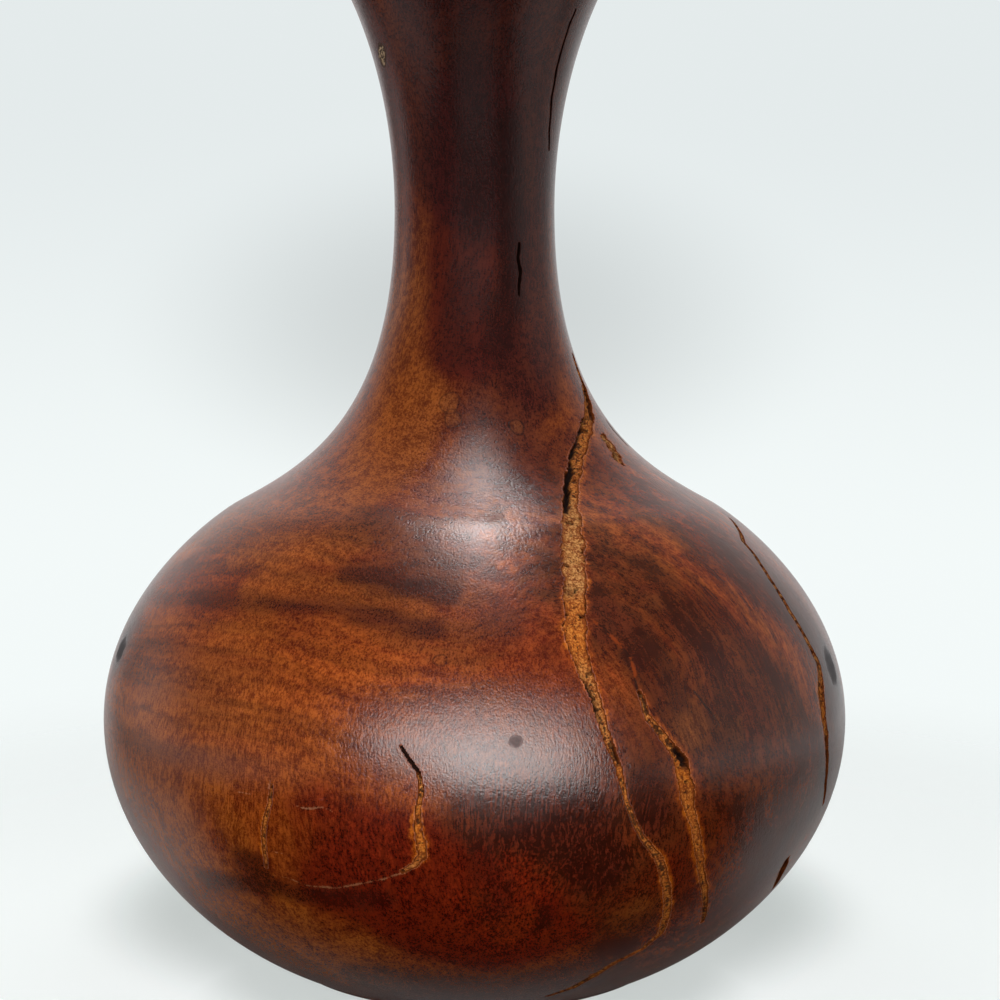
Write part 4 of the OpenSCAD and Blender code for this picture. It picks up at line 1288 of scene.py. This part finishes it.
def makeBarkMaterial(look):
    material, tree, shader, where = newMaterial("ochre bark", look["roughness"], look["specular"])
    grains = noiseNode(tree, where, 2100.0, 3.0, (-2, 0), rough=0.65, label="grains")
    lumps = noiseNode(tree, where, 620.0, 3.0, (-2, 2), rough=0.6, label="lumps")
    crumbs = noiseNode(tree, where, 1100.0, 2.0, (-2, 3), label="crumbs")
    tone = mark(tree, "barkTone", (-2, 4))
    edge = mark(tree, "barkEdge", (-2, 5))
    warm = blendColours(tree, spread(tree, lumps, 0.40, 0.62, (0, 2)), look["rust"], look["amber"], (1, 2))
    plain = blendColours(tree, spread(tree, lumps, 0.38, 0.60, (0, 3)), look["rust"], look["ochre"], (1, 3))
    base = blendColours(tree, tone, plain, warm, (2, 2))
    crust = blendColours(tree, tone, look["pale"], look["yellow"], (2, 3))
    paleShare = mathNode(tree, "MULTIPLY_ADD", tone, -0.2, (0, 4), third=0.9)
    pale = times(tree, spread(tree, grains, 0.47, 0.62, (0, 0)), paleShare, (2, 0))
    colour = blendColours(tree, pale, base, crust, (3, 0))
    specks = underLine(tree, grains, 0.34, 0.47, (1, 6))
    colour = layOver(tree, colour, specks, 0.85, look["brown"], (4, 0), (3, 6))
    # rusty edges where the bark meets the wood, and dark dots that join into a line in narrow places
    rusty = spread(tree, weightedSum(tree, [(edge, 1.0), (crumbs, 1.2)], -0.6, (1, 8)), 0.62, 1.0, (3, 8))
    colour = layOver(tree, colour, rusty, 0.75, look["rust"], (5, 0), (4, 8))
    barkDark = mark(tree, "barkDark", (0, 10))
    dots = weightedSum(tree, [(barkDark, 0.30), (crumbs, 1.0), (edge, -0.16)], 0.0, (1, 10))
    dots = spread(tree, dots, 0.65, 0.77, (5, 10))
    colour = layOver(tree, colour, dots, 0.85, look["pit"], (6, 0), (6, 10))
    # the open holes are painted near-black: painted shade
    colour = blendColours(tree, mark(tree, "barkHoleShade", (5, 12)), colour, look["pit"], (7, 0))
    tree.links.new(colour, shader.inputs["Base Color"])
    addBump(tree, shader, grains, look["bump"], (5, 4))
    return material


ochreBark = makeBarkMaterial(barkLook)
for name, path in seamPaths.items():
    crust = buildBark(name, path)
    crust.data.materials.append(ochreBark)
    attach(crust, "vase")
    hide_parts(name)
print("bark laid in the seams")

# knots
knotLook = {
    "neck_knot": {
        "heart": (0.035, 0.016, 0.010), "ring": (0.58, 0.40, 0.24), "edge": (0.09, 0.040, 0.026),
        "rise": 0.04, "roughness": 0.7, "specular": 0.3, "fray": 0.98, "swirl": 1.5, "rings": 11.0},
    "shoulder_knot": {
        "heart": (0.17, 0.042, 0.014), "ring": (0.20, 0.052, 0.017), "edge": (0.16, 0.030, 0.007),
        "rise": 0.0, "roughness": 0.34, "specular": 0.9, "fray": 1.02, "swirl": 0.35, "rings": 26.0},
    "belly_knot": {
        "heart": (0.040, 0.009, 0.005), "ring": (0.062, 0.014, 0.008), "edge": (0.085, 0.018, 0.009),
        "rise": 0.0, "roughness": 0.50, "specular": 0.7, "fray": 0.95, "swirl": 0.8, "rings": 14.0},
}
knotTurns = 48
# a knot's rings from its middle: [share of its radius, millimetres down]
knotRings = [(0.12, 0.0), (0.35, 0.0), (0.6, 0.0), (0.82, 0.0), (0.94, 0.0), (1.0, 0.0), (1.03, 0.03),
             (0.80, 1.2)]


def buildKnot(name, knot, rise):
    across, upward = knotAxes(knot)
    bm = bmesh.new()
    rings = []
    reach = []
    for share, down in knotRings:
        ring = []
        for j in range(knotTurns):
            turn = 2 * math.pi * j / knotTurns
            r = share * knot["radius"] * knotEdge(name, turn)
            flat = knot["point"] + (across * math.cos(turn) + upward * math.sin(turn)) * r * mm
            # keep to the turned surface
            z = flat.z
            true = float(radiusAt(z))
            level = math.hypot(flat.x, flat.y)
            flat = Vector((flat.x * true / level, flat.y * true / level, z))
            bumpy = (0.05 if share < 0.9 else 0.0) * noise.noise(flat * 1400)
            dome = rise * max(0.0, 1 - share * share) + 0.02
            ring.append(bm.verts.new(flat + knot["normal"] * (dome - down + bumpy) * mm))
            reach.append(min(1.0, share))
        rings.append(ring)
    centre = bm.verts.new(sum((v.co for v in rings[0]), Vector()) / knotTurns)
    reach.append(0.0)
    low = bm.verts.new(sum((v.co for v in rings[-1]), Vector()) / knotTurns)
    reach.append(1.0)
    for a, b in zip(rings, rings[1:]):
        for j in range(knotTurns):
            bm.faces.new((a[j], a[(j + 1) % knotTurns], b[(j + 1) % knotTurns], b[j]))
    for j in range(knotTurns):
        bm.faces.new((centre, rings[0][(j + 1) % knotTurns], rings[0][j]))
        bm.faces.new((low, rings[-1][j], rings[-1][(j + 1) % knotTurns]))
    smoothOut(bm)
    # a crisp edge where the knot meets the wood
    for v in rings[-2]:
        for e in v.link_edges:
            if e.other_vert(v) in rings[-2]:
                e.smooth = False
    piece = meshPiece(bm, name + "_wood")
    markMesh(piece.data, {"knotReach": reach})
    return piece


def makeKnotMaterial(name, look):
    label = name.replace("_", " ") + " end grain"
    material, tree, shader, where = newMaterial(label, look["roughness"], look["specular"])
    reach = mark(tree, "knotReach", (-3, 2))
    stir = noiseNode(tree, where, 900.0, 2.0, (-3, 0), label="stir")
    ringed = mathNode(tree, "MULTIPLY_ADD", stir, look["swirl"], (-1, 1), third=reach)
    rings = mathNode(tree, "SINE", times(tree, ringed, look["rings"], (0, 1)), None, (1, 1))
    colour = blendColours(tree, spread(tree, rings, -0.8, 0.8, (2, 1)), look["heart"], look["ring"], (3, 0))
    frayed = mathNode(tree, "MULTIPLY_ADD", stir, 0.55, (1, 3), third=reach)
    outer = spread(tree, frayed, look["fray"], look["fray"] + 0.18, (2, 3))
    colour = blendColours(tree, outer, colour, look["edge"], (4, 0))
    grain = noiseNode(tree, where, 2600.0, 2.0, (0, 6), label="flecks")
    grainTone = mathNode(tree, "MULTIPLY_ADD", grain, 1.6, (1, 6), third=0.2)
    colour = timesTone(tree, colour, grainTone, (5, 0), (2, 6))
    tree.links.new(colour, shader.inputs["Base Color"])
    roughness = mixValues(tree, outer, look["roughness"], look["roughness"] * 0.7, (4, 7))
    tree.links.new(roughness, shader.inputs["Roughness"])
    skin = placeGroup(tree, satinSkin, (2, 5), Vector=where, Fineness=burlLook["skinFineness"])
    height = mathNode(tree, "MULTIPLY_ADD", stir, 1.2, (3, 5), third=skin.outputs[0])
    addBump(tree, shader, height, burlLook["skinHeight"], (4, 4))
    return material


for name, knot in knotRows.items():
    piece = buildKnot(name, knot, knotLook[name]["rise"])
    piece.data.materials.append(makeKnotMaterial(name, knotLook[name]))
    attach(piece, "vase")
    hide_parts(name)
print("knots set in")

# foot plug, felt and glass
plugLook = {"pale": (0.42, 0.22, 0.10), "dark": (0.24, 0.10, 0.045), "roughness": 0.55, "specular": 0.35}
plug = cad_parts["foot_plug"]
plug.data.materials.clear()
plug.data.materials.append(makeBareWood("oiled plug wood", plugLook))

feltShape = {"radius": 43.0, "thick": 1.0, "round": 0.35, "columns": 192, "fray": 0.12}
feltLook = {"colour": (0.055, 0.105, 0.068), "dark": 0.55, "light": 1.7, "roughness": 0.95, "specular": 0.1,
            "bump": 0.0004, "sheen": 0.35, "sheenRoughness": 0.6}


def buildFelt(shape):
    bm = bmesh.new()
    r = shape["radius"]
    edge = shape["round"]
    thick = shape["thick"]
    under = [(0.0, 0.0), (r * 0.3, 0.0), (r * 0.6, 0.0), (r * 0.85, 0.0), (r - 1.2, 0.0), (r - edge, 0.0)]
    cut = [(r - edge * 0.3, edge * 0.3), (r, edge), (r, thick - edge), (r - edge * 0.3, thick - edge * 0.3)]
    top = [(r - edge, thick), (r - 1.2, thick), (r * 0.6, thick), (0.0, thick)]
    rings = []
    for part, points in (("under", under), ("cut", cut), ("top", top)):
        for radius, z in points:
            if radius == 0.0:
                rings.append([bm.verts.new((0, 0, z * mm))])
                continue
            ring = []
            for j in range(shape["columns"]):
                turn = 2 * math.pi * j / shape["columns"]
                fray = noise.noise(Vector((math.cos(turn) * 30, math.sin(turn) * 30, z * 2))) * shape["fray"]
                out = radius - (shape["fray"] + fray if part == "cut" else 0.0)
                ring.append(bm.verts.new((out * mm * math.sin(turn), -out * mm * math.cos(turn), z * mm)))
            rings.append(ring)
    joinProfile(bm, rings)
    smoothOut(bm)
    return meshPiece(bm, "feltSole")


def makeFeltMaterial(look):
    material, tree, shader, where = newMaterial("matted wool felt", look["roughness"], look["specular"])
    wool = noiseNode(tree, where, 900.0, 4.0, (-2, 0), rough=0.7, distortion=1.5, label="matted wool")
    tufts = noiseNode(tree, where, 140.0, 2.0, (-2, 2), label="thin places")
    dark = tuple(c * look["dark"] for c in look["colour"])
    light = tuple(min(1.0, c * look["light"]) for c in look["colour"])
    tone = blendColours(tree, spread(tree, wool, 0.35, 0.65, (0, 0)), dark, light, (1, 0))
    tone = blendColours(tree, spread(tree, tufts, 0.45, 0.75, (0, 2)), tone, look["colour"], (2, 0))
    tree.links.new(tone, shader.inputs["Base Color"])
    addBump(tree, shader, wool, look["bump"], (2, 3))
    shader.inputs["Sheen Weight"].default_value = look["sheen"]
    shader.inputs["Sheen Roughness"].default_value = look["sheenRoughness"]
    return material


felt = buildFelt(feltShape)
felt.data.materials.append(makeFeltMaterial(feltLook))
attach(felt, "vase")
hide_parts("felt_pad")
print("foot finished")

linerShape = {"radius": 13.0, "thick": 1.5, "length": 100.0, "lipRadius": 15.5, "lipThick": 2.5,
              "corner": 7.0, "columns": 96}
glassLook = {"roughness": 0.03, "specular": 0.5, "ior": 1.47, "tintLow": (0.93, 0.98, 0.96),
             "tintHigh": (0.97, 0.995, 0.985), "bump": 0.0001, "bumpStrength": 0.2}


def arc(centre, width, height, fromAngle, toAngle, count):
    # points on a round corner of a profile
    turns = np.radians(np.linspace(fromAngle, toAngle, count))
    return [list(centre + np.array([width * math.cos(a), height * math.sin(a)])) for a in turns]


def buildLiner(shape):
    seat = vaseShape["seatHeight"]
    lip = shape["lipRadius"]
    top = seat + shape["lipThick"]
    bottom = top - shape["length"]
    outer = shape["radius"]
    inner = outer - shape["thick"]
    corner = np.array([outer - shape["corner"], bottom + shape["corner"]])
    innerCorner = shape["corner"] - shape["thick"]
    profile = [[0.0, bottom]] + arc(corner, shape["corner"], shape["corner"], -90, 0, 10)
    profile += [[outer, seat - 2.0], [outer, seat], [lip - 0.9, seat]]
    profile += arc(np.array([lip - 1.0, top - 1.25]), 1.0, 1.25, -60, 90, 8)
    profile += [[inner + 0.9, top], [inner + 0.25, top - 0.25], [inner, top - 1.0]]
    profile += arc(corner, innerCorner, innerCorner, 0, -90, 10) + [[0.0, bottom + shape["thick"]]]
    bm = bmesh.new()
    rings = []
    for radius, z in profile:
        if radius < 0.01:
            rings.append([bm.verts.new((0, 0, z * mm))])
        else:
            rings.append(ringVerts(bm, radius * mm, z * mm, shape["columns"]))
    joinProfile(bm, rings)
    smoothOut(bm)
    return meshPiece(bm, "glassLiner")


def makeGlassMaterial(look):
    material, tree, shader, where = newMaterial("clear glass", look["roughness"], look["specular"])
    shader.inputs["IOR"].default_value = look["ior"]
    shader.inputs["Transmission Weight"].default_value = 1.0
    wisps = noiseNode(tree, where, 30.0, 2.0, (-2, 0), label="faint tint")
    tint = blendColours(tree, wisps, look["tintLow"], look["tintHigh"], (1, 0))
    tree.links.new(tint, shader.inputs["Base Color"])
    addBump(tree, shader, wisps, look["bump"], (1, 2), strength=look["bumpStrength"])
    return material


liner = buildLiner(linerShape)
liner.data.materials.append(makeGlassMaterial(glassLook))
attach(liner, "liner")
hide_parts("water_liner")
print("glass liner done")

# studio floor
floorLook = {
    "paper": (0.56, 0.58, 0.575), "paperDark": 0.98, "roughness": 0.9, "specular": 0.1,
    "level": -0.0002, "radii": (0.02, 0.06, 0.10, 0.14, 0.20, 0.28, 0.42), "columns": 96,
    "fadeMiddle": (0.0, 0.06, 0.0), "fade": (0.36, 0.13), "front": (-0.058, -0.040), "soleHole": 0.0425,
    "nearMiddle": (0.0, -0.03, 0.0), "near": (0.060, 0.115), "nearShadeDim": 0.60, "nearGlow": 0.24,
    "glow": (0.53, 0.56, 0.555), "shadeGlow": (0.26, 0.295, 0.285), "shadeMiddle": (0.0, 0.05, 0.0),
    "shade": (0.080, 0.112), "footShade": (0.056, 0.078),
}


def buildFloor(shape):
    bm = bmesh.new()
    rings = [ringVerts(bm, r, shape["level"], shape["columns"]) for r in shape["radii"]]
    bm.faces.new(rings[0])
    for a, b in zip(rings, rings[1:]):
        joinRings(bm, a, b, 0)
    for face in bm.faces:
        face.normal_update()
        if face.normal.z < 0:
            face.normal_flip()
    return meshPiece(bm, "studioFloor")


def awayFrom(tree, where, middle, place):
    # the distance from a place on the floor
    node = addNode(tree, "ShaderNodeVectorMath", place, operation="DISTANCE")
    feed(tree, node.inputs[0], where)
    feed(tree, node.inputs[1], middle)
    return node.outputs["Value"]


def makeFloorMaterial(look):
    material, tree, shader, where = newMaterial("pale studio paper", look["roughness"], look["specular"])
    soft = noiseNode(tree, where, 12.0, 1.0, (-2, 0), label="uneven paper")
    darkPaper = tuple(c * look["paperDark"] for c in look["paper"])
    tone = blendColours(tree, soft, darkPaper, look["paper"], (0, 0))
    # close to the vase the paper is painted darker for all but the camera, a painted shade, so that the belly
    # mirrors less of it
    nearShadeMask = underLine(tree, awayFrom(tree, where, look["nearMiddle"], (-3, -2)), *look["near"], (-2, -2))
    nearShadeTone = mathNode(tree, "MULTIPLY_ADD", nearShadeMask, -look["nearShadeDim"], (0, -2), third=1.0)
    tone = timesTone(tree, tone, nearShadeTone, (1, 0), (1, -1))
    tree.links.new(tone, shader.inputs["Base Color"])
    # the paper fades into the surrounding white, soon in front of the vase and slowly behind it
    outer = spread(tree, awayFrom(tree, where, look["fadeMiddle"], (-3, 2)), *look["fade"], (0, 2))
    split = addNode(tree, "ShaderNodeSeparateXYZ", (-3, 3))
    tree.links.new(where, split.inputs[0])
    shown = times(tree, outer, spread(tree, split.outputs["Y"], *look["front"], (0, 3)), (2, 2))
    # it is clear under the sole and seen from below, so that the sole shows and gets some light
    foot = awayFrom(tree, where, (0.0, 0.0, 0.0), (-3, 6))
    shown = times(tree, shown, mathNode(tree, "GREATER_THAN", foot, look["soleHole"], (0, 7)), (3, 2))
    under = addNode(tree, "ShaderNodeNewGeometry", (-2, 8)).outputs["Backfacing"]
    shown = times(tree, shown, mathNode(tree, "SUBTRACT", 1.0, under, (0, 8)), (4, 2))
    tree.links.new(shown, shader.inputs["Alpha"])
    # a glow for the camera alone keeps the shadow soft; it is lower near the foot and behind the vase, which
    # paints a contact shadow onto the paper
    seen = addNode(tree, "ShaderNodeLightPath", (-2, 4)).outputs["Is Camera Ray"]
    shade = spread(tree, awayFrom(tree, where, look["shadeMiddle"], (-3, 5)), *look["shade"], (-2, 5))
    paintedShadowPool = mathNode(tree, "MINIMUM", shade, spread(tree, foot, *look["footShade"], (-2, 6)), (-1, 5))
    glow = blendColours(tree, paintedShadowPool, look["shadeGlow"], look["glow"], (0, 5))
    nearGlow = shadeColour(tree, times(tree, nearShadeMask, look["nearGlow"], (0, 6)), (1, 7))
    glow = blendColours(tree, 1.0, glow, nearGlow, (1, 6), mode="ADD")
    glow = blendColours(tree, seen, (0.0, 0.0, 0.0), glow, (2, 4))
    tree.links.new(glow, shader.inputs["Emission Color"])
    shader.inputs["Emission Strength"].default_value = 1.0
    return material


floor = buildFloor(floorLook)
floor.data.materials.append(makeFloorMaterial(floorLook))

# softboxes: [name, place, aim, width, height, power, spread in degrees, seen in gloss]
softboxes = [
    ["topStrip", (0.015, -0.12, 0.90), (0.0, 0.0, 0.10), 0.17, 0.70, 0.150, 160, True],
    ["topBack", (0.010, 0.185, 0.640), (0.0, -0.055, 0.116), 0.100, 0.13, 0.060, 60, True],
    ["topCentre", (0.010, 0.060, 0.640), (0.0, -0.055, 0.116), 0.100, 0.12, 0.0255, 60, True],
    ["topMiddle", (0.012, -0.070, 0.640), (0.0, -0.055, 0.116), 0.070, 0.14, 0.011, 60, True],
    ["lowLeft", (-0.62, -0.16, 0.0), (-0.62, -0.16, 1.0), 0.60, 0.60, 0.33, 180, True],
    ["lowRight", (0.62, -0.14, 0.0), (0.62, -0.14, 1.0), 0.60, 0.60, 0.34, 180, True],
    ["lowFront", (0.0, -0.56, 0.0), (0.0, 0.0, 0.20), 0.50, 0.30, 0.07, 180, True],
    ["topFill", (0.0, 0.10, 1.20), (0.0, 0.0, 0.0), 1.40, 1.40, 6.0, 180, False],
    ["frontFill", (0.0, -1.10, 0.50), (0.0, 0.0, 0.08), 1.20, 0.90, 2.95, 180, False],
    ["leftFill", (-1.00, 0.05, 0.16), (0.0, 0.0, 0.12), 0.80, 0.80, 2.65, 180, False],
]
# a near window made of small panes with grids, all turned to the belly: [across, height, share of the power]
windowPanes = [
    [-0.13, 0.065, 0.13], [-0.13, 0.125, 0.70], [-0.13, 0.185, 0.40], [-0.13, 0.245, 0.12],
    [0.0, 0.045, 1.05], [0.0, 0.110, 1.12], [0.0, 0.180, 0.75], [0.0, 0.245, 0.35],
    [0.13, 0.030, 0.75], [0.13, 0.100, 0.90], [0.13, 0.170, 0.52], [0.13, 0.235, 0.28],
]
paneLook = {"distance": -0.40, "aim": (0.0, -0.06, 0.070), "width": 0.13, "height": 0.07, "power": 0.0056,
            "grid": 30}
for number, (across, up, share) in enumerate(windowPanes):
    place = (across, paneLook["distance"], up)
    power = paneLook["power"] * share
    softboxes.append(["windowPane" + str(number), place, paneLook["aim"], paneLook["width"],
                      paneLook["height"], power, paneLook["grid"], True])
# these shine past the neck, which would otherwise hide them from the shoulder
pastTheNeck = ("topBack", "topCentre", "topMiddle")
for name, place, aim, width, height, power, gridAngle, glossy in softboxes:
    data = bpy.data.lights.new(name, "AREA")
    data.shape = "RECTANGLE"
    data.size = width
    data.size_y = height
    data.energy = power
    data.spread = math.radians(gridAngle)
    lamp = bpy.data.objects.new(name, data)
    lamp.location = place
    lamp.rotation_euler = (Vector(aim) - Vector(place)).to_track_quat("-Z", "Y").to_euler()
    lamp.visible_glossy = glossy
    lamp.visible_camera = False
    bpy.context.collection.objects.link(lamp)
    if name in pastTheNeck:
        blockers = bpy.data.collections.new(name + "Blockers")
        blockers.objects.link(body)
        blockers.collection_objects[0].light_linking.link_state = "EXCLUDE"
        lamp.light_linking.blocker_collection = blockers

# the room: ranges of a direction's share along an axis, from none to all of an effect
worldLook = {
    "white": (0.86, 0.86, 0.86), "behind": (0.22, 1.22),
    "low": (-0.15, -0.45), "lowDim": 0.4, "high": (0.45, 0.85), "highDim": 0.5,
    "leftX": (-0.48, -0.64), "leftZ": (0.30, 0.05), "leftDim": 0.8,
    "bandX": (-0.72, -0.84), "bandY": (0.10, 0.40), "bandLow": (-0.22, -0.05), "bandHigh": (0.30, 0.17),
    "band": 0.50, "front": (-0.36, -0.10), "dim": 0.06, "sideX": (0.70, 0.97), "side": 0.19,
    "sky": (0.78, 0.83, 0.835), "ground": (0.90, 0.95, 0.945), "horizon": (-0.12, 0.14),
    "shade": 0.24, "shadeWide": 5.6, "shadeHigh": 10.5, "shadeMiddle": 0.014, "shadeEdge": (1.15, 0.2),
    "shadeY": (0.0, 0.5),
}


def makeWorld(look):
    world = bpy.data.worlds.new("paleStudio")
    world.use_nodes = True
    tree = world.node_tree
    split = addNode(tree, "ShaderNodeSeparateXYZ", (-7, 0))
    tree.links.new(addNode(tree, "ShaderNodeTexCoord", (-8, 0)).outputs["Generated"], split.inputs[0])
    x, y, z = split.outputs

    def zone(axis, name, place):
        return spread(tree, axis, *look[name], place)

    def dimmed(value, mask, amount, place):
        # less where the mask is
        kept = mathNode(tree, "MULTIPLY_ADD", mask, -amount, (place[0] - 1, place[1] + 1), third=1.0)
        return times(tree, value, kept, place)

    # for light: white behind the vase, less of it low, high and on the left, with a bright band there
    behind = zone(y, "behind", (-6, 0))
    behind = dimmed(behind, zone(z, "low", (-6, 1)), look["lowDim"], (-4, 0))
    behind = dimmed(behind, zone(z, "high", (-6, -1)), look["highDim"], (-3, -1))
    left = times(tree, zone(x, "leftX", (-6, -2)), zone(z, "leftZ", (-6, -3)), (-5, -2))
    behind = dimmed(behind, left, look["leftDim"], (-2, -2))
    band = times(tree, zone(x, "bandX", (-6, -4)), zone(y, "bandY", (-6, -5)), (-5, -4))
    band = times(tree, band, times(tree, zone(z, "bandLow", (-6, -6)), look["band"], (-5, -6)), (-4, -4))
    band = times(tree, band, zone(z, "bandHigh", (-4, -7)), (-3, -4))
    behind = mathNode(tree, "ADD", behind, band, (-1, -2), clamp=True)
    # dim in front of it, but for its right side
    side = toneBand(tree, x, *look["sideX"], look["dim"], look["side"], (-6, 2))
    front = shadeColour(tree, times(tree, zone(z, "front", (-5, 3)), side, (-4, 2)), (-3, 1))
    light = blendColours(tree, behind, front, look["white"], (0, 0))

    # for the eye: white paper with a painted shadow, a soft grey shade behind the neck
    paper = blendColours(tree, zone(z, "horizon", (-5, 4)), look["ground"], look["sky"], (-3, 4))
    shadeX = times(tree, x, look["shadeWide"], (-6, 6))
    shadeZ = mathNode(tree, "SUBTRACT", z, look["shadeMiddle"], (-6, 7))
    shadeZ = times(tree, shadeZ, look["shadeHigh"], (-5, 7))
    squares = mathNode(tree, "ADD", mathNode(tree, "POWER", shadeX, 2.0, (-4, 6)),
                       mathNode(tree, "POWER", shadeZ, 2.0, (-4, 7)), (-3, 6))
    shade = spread(tree, mathNode(tree, "SQRT", squares, None, (-2, 6)), *look["shadeEdge"], (-1, 6))
    shade = times(tree, shade, zone(y, "shadeY", (-1, 7)), (0, 6))
    paper = layOver(tree, paper, shade, look["shade"], (0.0, 0.0, 0.0), (1, 4), (1, 6))

    rays = addNode(tree, "ShaderNodeLightPath", (-1, 9)).outputs
    seen = mathNode(tree, "MAXIMUM", rays["Is Camera Ray"], rays["Is Transmission Ray"], (1, 9))
    background = tree.nodes["Background"]
    background.location = (760, 0)
    tree.nodes["World Output"].location = (980, 0)
    tree.links.new(blendColours(tree, seen, light, paper, (3, 0)), background.inputs["Color"])
    background.inputs["Strength"].default_value = 1.0
    return world


bpy.context.scene.world = makeWorld(worldLook)

# camera
cameraLook = {"place": (0.0, -0.4562, 0.1485), "down": 4.5, "lens": 67.18, "sensor": 36.0, "shift": 0.0255,
              "near": 0.01}
cameraData = bpy.data.cameras.new("camera")
cameraData.lens = cameraLook["lens"]
cameraData.sensor_width = cameraLook["sensor"]
cameraData.shift_x = cameraLook["shift"]
cameraData.clip_start = cameraLook["near"]
camera = bpy.data.objects.new("camera", cameraData)
camera.location = cameraLook["place"]
camera.rotation_euler = (math.radians(90 - cameraLook["down"]), 0, 0)
bpy.context.collection.objects.link(camera)
bpy.context.scene.camera = camera
bpy.context.scene.view_settings.view_transform = "Standard"
print("studio and camera set")
